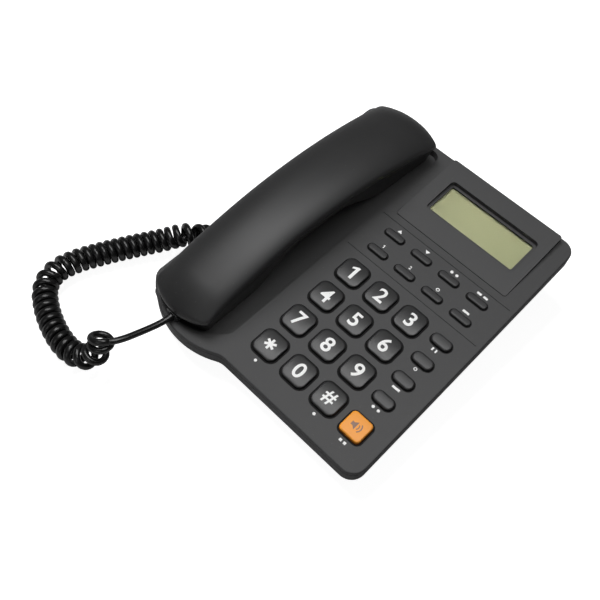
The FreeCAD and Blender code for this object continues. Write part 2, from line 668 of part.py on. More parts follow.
def key(label, u, v, wide, deep, corner, rise):
    """Cap with rounded top edges over a flange that stops it under the deck."""
    body = new_body(label)
    thick = dim("flange_thick")
    foot = -(plate + slack + thick)
    outline = around(u, v, wide, deep, corner)
    skirt = inset(outline, -(dim("key_gap") + dim("flange")))
    pad(body, rounded_rectangle(new_sketch(body, foot), *skirt), thick)
    cap = pad(body, rounded_rectangle(new_sketch(body, foot), *outline), as_dim(rise) - foot)
    round_top(body, cap, dim("key_round"))


def keys():
    names = [["key_star", "key_0", "key_hash"], ["key_7", "key_8", "key_9"],
             ["key_4", "key_5", "key_6"], ["key_1", "key_2", "key_3"]]
    for row, labels in enumerate(names):
        for column, label in enumerate(labels):
            key(label, dim("key_pitch_u") * (column - 1), dim("key_pitch_v") * (row - 2), dim("key_side"),
                dim("key_side"), dim("key_corner"), dim("key_rise"))
    for number in range(8):
        column, row = number % 4, number // 4
        key(f"function_key_{number + 1}", dim("bar_u") + dim("bar_pitch_u") * column,
            dim("bar_v") + dim("bar_pitch_v") * row, dim("bar_length"), dim("bar_depth"), dim("bar_corner"),
            dim("bar_rise"))
    for number in range(4):
        key(f"side_key_{number + 1}", dim("side_u"), dim("side_v") - dim("side_pitch") * number,
            dim("side_length"), dim("side_depth"), dim("side_corner"), dim("side_rise"))
    key("handsfree_key", dim("free_u"), dim("free_v"), dim("free_side"), dim("free_side"), dim("free_corner"),
        dim("key_rise"))


def electronics():
    """Keypad membrane, circuit board, loudspeaker, microphone and sockets."""
    top = -dim("membrane_top")
    box("keypad_membrane", dim("membrane_left"), dim("membrane_right"), dim("membrane_front"),
        dim("membrane_back"), top - dim("membrane_thick"), top)
    body = new_body("main_board")
    board_low = -(dim("board_top") + dim("board_thick"))
    outline = (dim("board_left"), dim("board_right"), dim("board_front"), dim("board_back"),
               dim("panel_corner"))
    pad(body, rounded_rectangle(new_sketch(body, board_low), *outline), dim("board_thick"))
    for u, v in BOARD_SCREWS:
        hole = circle(new_sketch(body, -dim("board_top")), u, v, dim("screw_radius"))
        pocket(body, hole, dim("board_thick"))
    level = FreeCAD.Placement(V(size("deck_x"), size("deck_y"), 0), FreeCAD.Rotation())
    speaker_low = dim("foot_height") + wall + slack
    u, v = dim("speaker_u"), dim("speaker_v")
    frame = cylinder("speaker_frame", u, v, speaker_low, dim("speaker_radius"), dim("speaker_frame"), level,
                     keep=False)
    magnet = cylinder("speaker_magnet", u, v, speaker_low + dim("speaker_frame"), dim("magnet_radius"),
                      dim("magnet_high"), level, keep=False)
    fuse("loudspeaker", [frame, magnet])
    mic_low = -(plate + slack + dim("free_mic_high"))
    cylinder("handsfree_microphone", dim("free_mic_u"), dim("free_mic_v"), mic_low, dim("free_mic_radius"),
             dim("free_mic_high"))
    u, w, mouth = dim("line_jack_u"), dim("line_jack_w"), dim("line_jack_mouth")
    half, rise = dim("line_jack_wide") * 0.5, dim("line_jack_high") * 0.5
    space, room = dim("socket_wide") * 0.5, dim("socket_high") * 0.5
    jack("line_jack", (u - half, u + half, mouth - dim("line_jack_deep"), mouth, w - rise, w + rise),
         (u - space, u + space, mouth - dim("socket_deep"), mouth + CUT_PAST, w - room, w + room))


def jack(label, outside, socket):
    """A block with a socket let into it; both are given by their six planes."""
    block = box(label + "_block", *outside, keep=False)
    return cut(label, block, box(label + "_socket", *socket, keep=False))


def feet():
    level = FreeCAD.Placement(V(size("deck_x"), size("deck_y"), 0), FreeCAD.Rotation())
    places = [(-84, -53), (39, -53), (-84, 108), (39, 108)]
    group("rubber_feet", [cylinder(f"foot_{i}", u, v, 0, dim("foot_radius"), dim("foot_height"), level,
                                   keep=False) for i, (u, v) in enumerate(places)])


def screw(label, u, v, head_top, shank):
    """Head below, shank upwards."""
    head = cylinder(label + "_head", u, v, as_dim(head_top) - dim("screw_head_high"), dim("screw_head"),
                    dim("screw_head_high"), keep=False)
    stem = cylinder(label + "_stem", u, v, head_top, dim("screw_radius") - fit, shank, keep=False)
    return fuse(label, [head, stem], keep=False)


def screws():
    board_low = -(dim("board_top") + dim("board_thick"))
    group("board_screws", [screw(f"board_screw_{i}", u, v, board_low, dim("board_screw_long"))
                           for i, (u, v) in enumerate(BOARD_SCREWS)])
    fall = math.tan(math.radians(size("tilt")))
    floor = dim("tub_drop") + slack
    group("housing_screws", [screw(f"housing_screw_{i}", u, v, -floor - v * fall, dim("housing_screw_long"))
                             for i, (u, v, _) in enumerate(POSTS)])


def hook():
    """Plunger in the cradle, with the collar that stops it, and its switch."""
    u, v = dim("plunger_u"), dim("plunger_v")
    top = -(dim("pan_depth") + fit * 0.5)
    rod = cylinder("plunger_rod", u, v, top - dim("plunger_long"), dim("plunger_radius"), dim("plunger_long"),
                   keep=False)
    collar = cylinder("plunger_stop", u, v, -collar_foot, dim("plunger_collar"), dim("collar_high"),
                      keep=False)
    fuse("hook_plunger", [rod, collar])
    half, reach = dim("switch_wide") * 0.5, dim("switch_long") * 0.5
    box("hook_switch", u - half, u + half, v - reach, v + reach, -(dim("switch_top") + dim("switch_high")),
        -dim("switch_top"))


def plan(label, step, low, high):
    """Upright prism with the handset's outline: straight sides, round back corners, arc at the front."""
    body = doc.addObject("PartDesign::Body", label + "_sides")
    body.Placement = DECK
    front = dim("end_v") - dim("grip_end") * 2
    outline = inset((dim("grip_left"), dim("grip_right"), front, dim("grip_back"), dim("grip_corner")), step)
    pad(body, rounded_rectangle(new_sketch(body, low), *outline), as_dim(high) - low)
    nose = cylinder(label + "_nose", dim("end_u"), dim("end_v"), low, dim("grip_end") - step,
                    as_dim(high) - low, keep=False)
    rest = box(label + "_rest", dim("grip_left") - FAR_PAST, dim("grip_right") + FAR_PAST, dim("end_v"),
               dim("grip_back") + FAR_PAST, low, high, keep=False)
    return common(label, [body, fuse(label + "_length", [nose, rest], keep=False)])


def arch(label, above_seam):
    """Lying cylinder whose top follows the handset's arch, at a height above the shells' seam."""
    span = dim("grip_end") * 4
    return cylinder(label, dim("end_u") - span * 0.5, dim("arch_v"), dim("arch_peak") - dim("arch_radius"),
                    dim("arch_radius") + above_seam, span, turn=FreeCAD.Rotation(V(0, 1, 0), 90), keep=False)


def arch_height(v, above_seam):
    radius = size("arch_radius") + above_seam
    return size("arch_peak") - size("arch_radius") + math.sqrt(radius ** 2 - (v - size("arch_v")) ** 2)


def handset_top_shell():
    gap = dim("shell_gap") * 0.5
    crown = dim("crown")
    shell = dim("shell")
    block = common("top_block", [plan("top_plan", as_dim(0), TOOL_LOW, TOOL_HIGH), arch("top_arch", crown)])
    doc.recompute()
    rounded = doc.addObject("Part::Fillet", "top_rounded")
    rounded.Base = block
    lid = max(block.Shape.Faces, key=lambda f: f.CenterOfMass.z)
    edges = [i + 1 for i, e in enumerate(block.Shape.Edges) if any(e.isSame(x) for x in lid.Edges)]
    rounded.Edges = [(i, size("crown_round"), size("crown_round")) for i in edges]
    hollow = common("top_hollow", [plan("top_inner_plan", shell, TOOL_LOW, TOOL_HIGH),
                                   arch("top_inner_arch", crown - shell)])
    inside = fuse("top_inside", [hollow, arch("top_seam", gap)], keep=False)
    skin = cut("top_skin", rounded, inside, keep=False)
    bosses = []
    for i, v in enumerate(HANDSET_SCREWS):
        low = arch_height(v, -size("grip_thick") + size("shell")) + 2 * size("shell_gap")
        tall = arch_height(v, size("crown") - size("shell")) - low + CUT_PAST
        outer = cylinder(f"shell_boss_{i}", dim("end_u"), v, low, dim("shell_boss"), tall, keep=False)
        bore = cylinder(f"shell_bore_{i}", dim("end_u"), v, low - CUT_PAST, dim("screw_radius"), tall,
                        keep=False)
        bosses.append(cut(f"shell_post_{i}", outer, bore, keep=False))
    fuse("handset_top_shell", [skin] + bosses)


def handset_bottom_shell():
    gap = dim("shell_gap") * 0.5
    shell = dim("shell")
    left, right = dim("grip_left") - FAR_PAST, dim("grip_right") + FAR_PAST
    foot = -dim("cup_foot")
    thick = dim("grip_thick")
    front, back = dim("grip_hollow_front"), dim("grip_hollow_back")

    def finger_hollow(label, step):
        space = box(label + "_space", left, right, front - step, back + step, TOOL_LOW, TOOL_HIGH, keep=False)
        return common(label, [space, arch(label + "_arch", -thick + step)])

    block = common("low_block", [plan("low_plan", dim("undercut"), foot, TOOL_HIGH), arch("low_arch", -gap)])
    outer = cut("low_outer", block, finger_hollow("low_grip", as_dim(0)), keep=False)
    room = common("low_room", [plan("low_inner_plan", dim("undercut") + shell, foot + shell, TOOL_HIGH),
                               arch("low_room_arch", shell)])
    cavity = cut("low_cavity", room, finger_hollow("low_inner_grip", shell), keep=False)
    half = dim("plug_wide") * 0.5 + slack
    rise = dim("plug_high") * 0.5 + slack
    nose = dim("end_v") - dim("grip_end")
    mouth = box("plug_mouth", dim("end_u") - half, dim("end_u") + half, nose, nose + FAR_PAST,
                dim("plug_w") - rise, dim("plug_w") + rise, keep=False)
    holes = []
    for i, v in enumerate(HANDSET_SCREWS):
        low = arch_height(v, -size("grip_thick")) - shell
        holes.append(cylinder(f"screw_hole_{i}", dim("end_u"), v, low, dim("screw_radius") + slack, shell * 3,
                              keep=False))
    cut("handset_bottom_shell", outer, fuse("low_cuts", [cavity, mouth] + holes, keep=False))


def handset_inside():
    """Receiver, microphone, weight, screws, and the cord's jack and plug."""
    floor = dim("shell") - dim("cup_foot") + fit
    u = dim("end_u")
    cylinder("receiver_capsule", u, dim("receiver_v"), floor, dim("receiver_radius"), dim("receiver_high"))
    cylinder("handset_microphone", u, dim("mic_v"), floor, dim("mic_radius"), dim("mic_high"))
    bed = fit * 2 + arch_height(size("arch_v"), -size("grip_thick") + size("shell"))
    half, reach = dim("weight_wide") * 0.5, dim("weight_long") * 0.5
    v = dim("weight_v")
    box("handset_weight", u - half, u + half, v - reach, v + reach, bed, bed + dim("weight_high"))
    pieces = []
    for i, v in enumerate(HANDSET_SCREWS):
        head_top = arch_height(v, -size("grip_thick")) - 1.5 * slack
        pieces.append(screw(f"handset_screw_{i}", u, v, head_top, dim("handset_screw_long")))
    group("handset_screws", pieces)
    half, rise = dim("jack_wide") * 0.5, dim("jack_high") * 0.5
    front = dim("end_v") - dim("grip_end") + dim("undercut") + dim("shell") + slack * 3
    w = dim("plug_w")
    space, room = dim("plug_wide") * 0.5 + fit, dim("plug_high") * 0.5 + fit
    jack("handset_cord_jack", (u - half, u + half, front, front + dim("jack_deep"), w - rise, w + rise),
         (u - space, u + space, front - CUT_PAST, front + dim("jack_bore"), w - room, w + room))
    tip = dim("end_v") - dim("grip_end") + dim("undercut") - dim("plug_out")
    half, rise = dim("plug_wide") * 0.5, dim("plug_high") * 0.5
    box("handset_plug", u - half, u + half, tip, tip + dim("plug_long"), w - rise, w + rise)


def base_jack_and_plug():
    v, w, mouth = dim("base_jack_v"), dim("base_jack_w"), dim("base_jack_mouth")
    half, rise = dim("jack_wide") * 0.5, dim("jack_high") * 0.5
    space, room = dim("plug_wide") * 0.5 + fit, dim("plug_high") * 0.5 + fit
    jack("base_cord_jack", (mouth, mouth + dim("jack_deep"), v - half, v + half, w - rise, w + rise),
         (mouth - CUT_PAST, mouth + dim("jack_bore"), v - space, v + space, w - room, w + room))
    tip = mouth - dim("plug_out")
    half, rise = dim("plug_wide") * 0.5, dim("plug_high") * 0.5
    box("base_plug", tip, tip + dim("plug_long"), v - half, v + half, w - rise, w + rise)


# Middle line of the curls on the desk, from the base's jack round to the upright end
ROUTE = [
    (-90.0, -40.8, 7.8), (-91.6, -46.0, 11.0), (-97.0, -52.0, 12.6), (-105.0, -63.4, 8.2),
    (-114.0, -81.0, 7.8), (-121.0, -97.0, 7.8), (-126.8, -112.0, 7.8), (-128.6, -126.0, 7.8),
    (-122.4, -137.0, 7.8), (-109.4, -144.5, 7.8), (-95.4, -149.4, 7.8), (-82.0, -151.4, 8.0),
    (-71.6, -149.8, 9.6), (-65.4, -145.2, 14.2), (-64.0, -141.0, 19.8), (-65.2, -138.9, 25.0),
    (-66.8, -137.2, 30.0)]
FINE_STEP = 0.1


def clamped_curve(points):
    """Quadratic curve that starts and ends on the route's end points and leans on the others."""
    curve = Part.BSplineCurve()
    count = len(points)
    knots = list(range(count - 1))
    curve.buildFromPolesMultsKnots([V(*p) for p in points], [3] + [1] * (count - 3) + [3], knots, False, 2)
    return curve


def walk(curve):
    """Points, curvatures and two untwisted side vectors at even steps along a curve."""
    steps = int(curve.length() / FINE_STEP)
    stops = []
    side = V(0, 0, 1)
    for place in curve.discretize(Number=steps + 1):
        at = curve.parameter(place)
        ahead = V(curve.tangent(at)[0])
        side = (side - ahead * side.dot(ahead)).normalize()
        stops.append((place, curve.curvature(at), V(side), ahead.cross(side)))
    return stops


def curls(stops, radius, pitch, wire, gap):
    """Helix about a line; the pitch widens on bends so that the curls keep their gap on the inside."""
    tightest = 0.2
    turn = 0
    path = []
    for place, bend, side, other in stops:
        step = max(pitch, (wire + gap) / max(tightest, 1 - bend * radius))
        angle = 2 * math.pi * turn
        path.append((turn, place + side * (radius * math.cos(angle)) + other * (radius * math.sin(angle))))
        turn += FINE_STEP / step
    return path


def joint_point(start, ahead, end, onward):
    """Where the two arcs of a biarc meet."""
    chord = end - start
    both = ahead + onward
    spread = 2 * (1 - ahead.dot(onward))
    reach = chord.dot(both)
    length = (math.sqrt(reach ** 2 + spread * chord.dot(chord)) - reach) / spread
    return (start + end + (ahead - onward) * length) * 0.5


def arc_edge(start, ahead, end):
    """Arc from a point in a direction to another point, with its radius."""
    chord = end - start
    along = V(chord).normalize()
    lean = ahead - along * ahead.dot(along)
    if lean.Length < 1e-6:
        return Part.LineSegment(start, end).toShape(), math.inf, along
    half = math.acos(max(-1, min(1, ahead.dot(along))))
    middle = start + chord * 0.5 + lean.normalize() * (chord.Length * 0.5 * math.tan(half * 0.5))
    leave = along * (2 * ahead.dot(along)) - ahead
    return Part.Arc(start, middle, end).toShape(), chord.Length / (2 * math.sin(half)), leave


def biarcs(stations):
    """Edges and radii of biarcs through points with directions."""
    edges, radii = [], []
    for (start, ahead), (end, onward) in zip(stations, stations[1:]):
        middle = joint_point(start, ahead, end, onward)
        first, first_radius, leave = arc_edge(start, ahead, middle)
        second, second_radius, _ = arc_edge(middle, leave, end)
        edges += [first, second]
        radii += [first_radius, second_radius]
    return edges, radii


def quarter_stations(path):
    """Points and directions of a helix at every quarter turn."""
    stations = []
    wanted = 0
    for (_, before), (turn, here), (_, after) in zip(path, path[1:], path[2:]):
        if turn >= wanted:
            stations.append((here, V(after - before).normalize()))
            wanted += 0.25
    return stations


def tube(label, edges, wire, start, ahead):
    """Round tube along a wire of lines and arcs."""
    profile = Part.Wire(Part.Circle(start, ahead, wire * 0.5).toShape())
    spine = Part.Wire(edges)
    solid = spine.makePipeShell([profile], True, False)
    feature = doc.addObject("Part::Feature", label)
    feature.Shape = solid
    feature.Placement = FreeCAD.Placement()
    parts.append(feature)
    section = math.pi * (wire * 0.5) ** 2
    print(label, "length", round(spine.Length, 1), "volume", round(solid.Volume, 1), "section x length",
          round(section * spine.Length, 1))
    return spine.Length


def least_gap(edges, wire):
    """Least clear gap of a coiled tube to its own later turns."""
    step = 1.0
    points = []
    run = 0
    for edge in edges:
        count = max(2, int(edge.Length / step))
        places = edge.discretize(Number=count + 1)
        if points and (places[0] - points[-1][1]).Length > (places[-1] - points[-1][1]).Length:
            places.reverse()
        for place in places[:-1]:
            points.append((run, place))
            run += edge.Length / count
    least = math.inf
    for i, (run, place) in enumerate(points):
        for later, other in points[i + 1:]:
            if later - run > 4 * wire:
                least = min(least, (place - other).Length)
    return least - wire


def bent_path(points):
    """Straight runs joined by tangent arcs, each as large as its two runs allow."""
    points = [V(p) for p in points]
    edges, radii = [], []
    here = points[0]
    for before, corner, after in zip(points, points[1:], points[2:]):
        back, on = before - corner, after - corner
        shorter = min(back.Length, on.Length)
        back.normalize()
        on.normalize()
        turn = math.pi - math.acos(back.dot(on))
        reach = 0.45 * shorter
        radius = reach / math.tan(turn * 0.5)
        start, end = corner + back * reach, corner + on * reach
        middle_way = (back + on).normalize()
        middle = corner + middle_way * (radius / math.cos(turn * 0.5) - radius)
        edges.append(Part.LineSegment(here, start).toShape())
        edges.append(Part.Arc(start, middle, end).toShape())
        radii.append(radius)
        here = end
    edges.append(Part.LineSegment(here, points[-1]).toShape())
    return edges, radii


def cord():
    """Curly cord from the base's plug, and the straight lead from its upright end to the handset."""
    wire = size("wire")
    radius = (size("coil_outer") - wire) * 0.5
    exit_point = DECK.multVec(V(size("base_jack_mouth") - size("plug_out"), size("base_jack_v"),
                                size("base_jack_w")))
    handset_exit = DECK.multVec(V(size("end_u"), size("end_v") - size("grip_end") + size("undercut") -
                                  size("plug_out"), size("plug_w")))
    plug_way = DECK.Rotation.multVec(V(0, -1, 0))
    stops = walk(clamped_curve(ROUTE))
    stations = quarter_stations(curls(stops, radius, size("curl_pitch"), wire, size("curl_gap")))
    target = handset_exit + plug_way * (1.5 * wire)

    def aim(station):
        place, ahead = station
        return ahead.dot(V(target - place).normalize())

    last_turn = range(len(stations) - 5, len(stations))
    last = max(last_turn, key=lambda i: aim(stations[i]))
    stations = stations[:last + 1]
    out = V(-1, 0, 0)
    stations = [(exit_point + out * wire, out)] + stations
    end_place, end_way = stations[-1]
    edges, radii = biarcs(stations)
    coil_end = end_place + end_way * wire
    edges = [Part.LineSegment(exit_point, exit_point + out * wire).toShape()] + edges
    edges.append(Part.LineSegment(end_place, coil_end).toShape())
    coil_length = tube("curly_cord", edges, wire, exit_point, out)
    print("curls", round((len(stations) - 2) / 4, 2), "least radius", round(min(radii), 2), "least gap",
          round(least_gap(edges, wire), 2))
    knee = coil_end + end_way * (1.2 * wire)
    sag = V(0, 0, -0.6)
    lead_edges, lead_radii = bent_path([coil_end, knee, (knee + target) * 0.5 + sag, target, handset_exit])
    lead_length = tube("cord_lead", lead_edges, wire, coil_end, end_way)
    print("lead radii", [round(r, 1) for r in lead_radii], "cord in all", round(coil_length + lead_length, 1))
    print("coil end", coil_end, end_way, "handset exit", handset_exit, "base exit", exit_point)


def hook_spring():
    """Small coil spring between the plunger's collar and its switch."""
    wire = size("spring_wire")
    low, high = wire - size("switch_top"), -collar_foot.value - wire
    u, v = size("plunger_u"), size("plunger_v")
    stops = walk(Part.LineSegment(DECK.multVec(V(u, v, low)), DECK.multVec(V(u, v, high))))
    pitch = (high - low) / size("spring_turns")
    stations = quarter_stations(curls(stops, size("spring_radius"), pitch, wire, size("curl_gap")))
    edges, radii = biarcs(stations)
    tube("hook_spring", edges, wire, *stations[0])
    print("spring least radius", round(min(radii), 2), "least gap", round(least_gap(edges, wire), 2))


def write_parts():
    """Checks every object, then writes each sub-part under its own name."""
    doc.recompute()
    bad = [o.Label for o in doc.Objects if "Invalid" in o.State or "Error" in o.State]
    for part in parts:
        if part.Shape.isNull() or not part.Shape.isValid() or not part.Shape.Solids:
            bad.append(part.Label)
    if bad:
        raise SystemExit(f"failed pieces: {bad}")
    os.makedirs("parts", exist_ok=True)
    for part in parts:
        part.Shape.exportStep(f"parts/{part.Label}.step")
    print(len(parts), "parts")


top_housing()
bottom_cover()
display()
keys()
electronics()
feet()
screws()
hook()
hook_spring()
handset_top_shell()
handset_bottom_shell()
handset_inside()
base_jack_and_plug()
cord()
write_parts()
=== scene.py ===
import json
import math

import bmesh
import bpy
import numpy as np
from mathutils import Matrix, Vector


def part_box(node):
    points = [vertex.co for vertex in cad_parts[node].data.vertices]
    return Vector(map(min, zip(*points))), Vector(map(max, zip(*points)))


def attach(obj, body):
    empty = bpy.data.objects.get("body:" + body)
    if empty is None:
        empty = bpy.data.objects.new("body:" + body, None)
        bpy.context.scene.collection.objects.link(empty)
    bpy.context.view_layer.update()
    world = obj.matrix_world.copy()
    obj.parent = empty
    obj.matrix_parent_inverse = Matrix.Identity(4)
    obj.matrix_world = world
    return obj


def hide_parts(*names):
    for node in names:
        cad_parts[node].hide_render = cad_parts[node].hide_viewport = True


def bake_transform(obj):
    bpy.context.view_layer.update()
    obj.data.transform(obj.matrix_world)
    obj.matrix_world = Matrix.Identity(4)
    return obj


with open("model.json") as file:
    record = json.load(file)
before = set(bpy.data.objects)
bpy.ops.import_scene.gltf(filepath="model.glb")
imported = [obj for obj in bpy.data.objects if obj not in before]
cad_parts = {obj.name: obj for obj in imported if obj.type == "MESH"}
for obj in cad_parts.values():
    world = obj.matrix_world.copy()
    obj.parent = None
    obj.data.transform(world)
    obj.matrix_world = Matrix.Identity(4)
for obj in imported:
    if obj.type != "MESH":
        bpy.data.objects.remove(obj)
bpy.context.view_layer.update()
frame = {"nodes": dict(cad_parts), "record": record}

# Deck frame: u to the right, v up the sloping deck to the back, w square to the deck, in millimetres,
# with its origin on the deck under key 5. That key's joint gives its place and its slope.
MM = 0.001
JOINTS = {joint["name"]: joint for joint in frame["record"]["behaviour"]["joints"]}
ORIGIN = np.array(JOINTS["key_5_press"]["pos_m"])
NORMAL = -np.array(JOINTS["key_5_press"]["axis"])
RIGHT = np.array([1.0, 0.0, 0.0])
BACK = np.cross(NORMAL, RIGHT)
DECK = np.array([RIGHT, BACK, NORMAL])


def from_deck(points):
    """Deck millimetres to the frame's metres."""
    return ORIGIN + np.asarray(points, float) @ DECK * MM


def to_deck(points):
    """The frame's metres to deck millimetres."""
    return (np.asarray(points, float) - ORIGIN) @ DECK.T / MM


# Camera, from the photograph: place in the deck frame, axes, and focal length in pixels of a 600-pixel frame
IMAGE_SIDE = 600
FOCAL_PIXELS = 767.9
SENSOR_MM = 36
CAMERA_PLACE = (106.0, -184.3, 376.5)
CAMERA_RIGHT = (0.7163, 0.6955, 0.0572)
CAMERA_UP = (-0.6230, 0.6004, 0.5012)


def make_camera():
    data = bpy.data.cameras.new("photo_camera")
    data.sensor_width = SENSOR_MM
    data.lens = FOCAL_PIXELS * SENSOR_MM / IMAGE_SIDE
    camera = bpy.data.objects.new("photo_camera", data)
    right = np.array(CAMERA_RIGHT) @ DECK
    up = np.array(CAMERA_UP) @ DECK
    turn = Matrix(np.array([right, up, np.cross(right, up)]).T.tolist()).to_4x4().normalized()
    camera.matrix_world = Matrix.Translation(from_deck(CAMERA_PLACE).tolist()) @ turn
    bpy.context.collection.objects.link(camera)
    bpy.context.scene.camera = camera


make_camera()


def grid_faces(rows, columns, wrap):
    """Quads between neighbouring rows and columns of a grid; wrap joins the last column to the first."""
    row = np.arange(rows - 1)[:, None]
    column = np.arange(columns if wrap else columns - 1)[None, :]
    onward = (column + 1) % columns
    quads = np.stack(np.broadcast_arrays(row * columns + column, row * columns + onward,
                                         (row + 1) * columns + onward, (row + 1) * columns + column), -1)
    return quads.reshape(-1, 4)


def new_piece(name, points, faces, material, smooth=True):
    """A mesh object at the origin; coincident points are merged and faces turned outwards."""
    mesh = bpy.data.meshes.new(name)
    mesh.from_pydata(np.asarray(points, float).reshape(-1, 3).tolist(), [], np.asarray(faces).tolist())
    shape = bmesh.new()
    shape.from_mesh(mesh)
    bmesh.ops.remove_doubles(shape, verts=shape.verts, dist=2e-6)
    bmesh.ops.recalc_face_normals(shape, faces=shape.faces)
    shape.to_mesh(mesh)
    shape.free()
    mesh.polygons.foreach_set("use_smooth", np.full(len(mesh.polygons), smooth))
    mesh.materials.append(material)
    piece = bpy.data.objects.new(name, mesh)
    bpy.context.collection.objects.link(piece)
    return piece


def unit(vectors):
    return vectors / np.linalg.norm(vectors, axis=-1, keepdims=True)


# Shader node groups and materials


def link(tree, source, target):
    tree.links.new(source, target)


def group_grain():
    """Moulded plastic: fine pits, broad unevenness and sparse dust, from noise on Object coordinates."""
    group = bpy.data.node_groups.new("moulded_grain", "ShaderNodeTree")
    face = group.interface
    face.new_socket("Pit Size", in_out="INPUT", socket_type="NodeSocketFloat")
    face.new_socket("Height", in_out="OUTPUT", socket_type="NodeSocketFloat")
    face.new_socket("Patchiness", in_out="OUTPUT", socket_type="NodeSocketFloat")
    face.new_socket("Dust", in_out="OUTPUT", socket_type="NodeSocketFloat")
    nodes = group.nodes
    enter = nodes.new("NodeGroupInput")
    leave = nodes.new("NodeGroupOutput")
    place = nodes.new("ShaderNodeTexCoord")
    pits = nodes.new("ShaderNodeTexNoise")
    pits.inputs["Detail"].default_value = 2
    link(group, place.outputs["Object"], pits.inputs["Vector"])
    link(group, enter.outputs["Pit Size"], pits.inputs["Scale"])
    link(group, pits.outputs["Fac"], leave.inputs["Height"])
    patch = nodes.new("ShaderNodeTexNoise")
    patch.inputs["Scale"].default_value = 26
    patch.inputs["Detail"].default_value = 5
    link(group, place.outputs["Object"], patch.inputs["Vector"])
    link(group, patch.outputs["Fac"], leave.inputs["Patchiness"])
    speck = nodes.new("ShaderNodeTexVoronoi")
    speck.inputs["Scale"].default_value = 190
    link(group, place.outputs["Object"], speck.inputs["Vector"])
    spot = nodes.new("ShaderNodeMapRange")
    spot.inputs["From Min"].default_value = 0.10
    spot.inputs["From Max"].default_value = 0.03
    link(group, speck.outputs["Distance"], spot.inputs["Value"])
    link(group, spot.outputs["Result"], leave.inputs["Dust"])
    return group


GRAIN = group_grain()
DUST_TONE = (0.30, 0.30, 0.29, 1)


def plastic(name, dark, light, rough, pit_size, pit_depth, dust=0.06, specular=0.5):
    """Moulded plastic: colour drifts between two tones, roughness with it, and pits give the bump."""
    material = bpy.data.materials.new(name)
    material.use_nodes = True
    tree = material.node_tree
    nodes = tree.nodes
    shader = nodes["Principled BSDF"]
    shader.inputs["Specular IOR Level"].default_value = specular
    grain = nodes.new("ShaderNodeGroup")
    grain.node_tree = GRAIN
    grain.inputs["Pit Size"].default_value = pit_size
    tone = nodes.new("ShaderNodeMix")
    tone.data_type = "RGBA"
    tone.inputs["A"].default_value = (*dark, 1)
    tone.inputs["B"].default_value = (*light, 1)
    link(tree, grain.outputs["Patchiness"], tone.inputs["Factor"])
    amount = nodes.new("ShaderNodeMath")
    amount.operation = "MULTIPLY"
    amount.inputs[1].default_value = dust
    link(tree, grain.outputs["Dust"], amount.inputs[0])
    dusty = nodes.new("ShaderNodeMix")
    dusty.data_type = "RGBA"
    dusty.inputs["B"].default_value = DUST_TONE
    link(tree, tone.outputs["Result"], dusty.inputs["A"])
    link(tree, amount.outputs["Value"], dusty.inputs["Factor"])
    link(tree, dusty.outputs["Result"], shader.inputs["Base Color"])
    sheen = nodes.new("ShaderNodeMapRange")
    sheen.inputs["To Min"].default_value = rough - 0.05
    sheen.inputs["To Max"].default_value = rough + 0.05
    link(tree, grain.outputs["Patchiness"], sheen.inputs["Value"])
    link(tree, sheen.outputs["Result"], shader.inputs["Roughness"])
    bump = nodes.new("ShaderNodeBump")
    bump.inputs["Strength"].default_value = 1
    bump.inputs["Distance"].default_value = pit_depth
    link(tree, grain.outputs["Height"], bump.inputs["Height"])
    link(tree, bump.outputs["Normal"], shader.inputs["Normal"])
    return material


def grey(value):
    return (value, value, value * 1.02)


DECK_PLASTIC = plastic("deck_plastic", grey(0.042), grey(0.052), 0.60, 2600, 0.00006)
COVER_PLASTIC = plastic("cover_plastic", grey(0.050), grey(0.060), 0.60, 2600, 0.00006)
PANEL_PLASTIC = plastic("panel_plastic", grey(0.042), grey(0.052), 0.56, 2600, 0.00005)
HANDSET_PLASTIC = plastic("handset_plastic", grey(0.020), grey(0.026), 0.46, 1800, 0.00002)
LOWER_SHELL_PLASTIC = plastic("lower_shell_plastic", grey(0.014), grey(0.019), 0.32, 1800, 0.00002)
CORD_JACKET = plastic("cord_jacket", grey(0.006), grey(0.009), 0.28, 900, 0.00002)
WHITE_PRINT = plastic("white_print", (0.95, 0.95, 0.94), (0.98, 0.98, 0.97), 0.50, 3000, 0.00001, dust=0)
BROWN_PRINT = plastic("brown_print", (0.24, 0.14, 0.10), (0.30, 0.18, 0.13), 0.50, 3000, 0.00001, dust=0)
SCREEN_FACE = plastic("screen_face", (0.35, 0.357, 0.19), (0.385, 0.39, 0.22), 0.50, 1500, 0.00001, dust=0)
JACK_PLASTIC = plastic("jack_plastic", grey(0.010), grey(0.014), 0.45, 1500, 0.00003)
PLUG_PLASTIC = plastic("plug_plastic", grey(0.030), grey(0.060), 0.20, 900, 0.00001)
RUBBER = plastic("foot_rubber", grey(0.020), grey(0.030), 0.75, 1200, 0.00008)
BOARD_MASK = plastic("board_mask", (0.010, 0.075, 0.028), (0.016, 0.10, 0.038), 0.35, 700, 0.00003)
SILICONE = plastic("silicone", grey(0.030), grey(0.040), 0.60, 900, 0.00003)


def cap_plastic(name, dark, light, rough, wall):
    """Key plastic whose colour falls to a painted shade on the walls, standing in for their shadow, by the
    depth below the cap's top edge.
    """
    material = plastic(name, dark, light, rough, 2200, 0.00002, dust=0.03)
    tree = material.node_tree
    shader = tree.nodes["Principled BSDF"]
    depth = tree.nodes.new("ShaderNodeAttribute")
    depth.attribute_name = "wall_shade_mask"
    shade = tree.nodes.new("ShaderNodeMix")
    shade.data_type = "RGBA"
    shade.inputs["B"].default_value = (*wall, 1)
    link(tree, shader.inputs["Base Color"].links[0].from_socket, shade.inputs["A"])
    link(tree, depth.outputs["Fac"], shade.inputs["Factor"])
    link(tree, shade.outputs["Result"], shader.inputs["Base Color"])
    return material
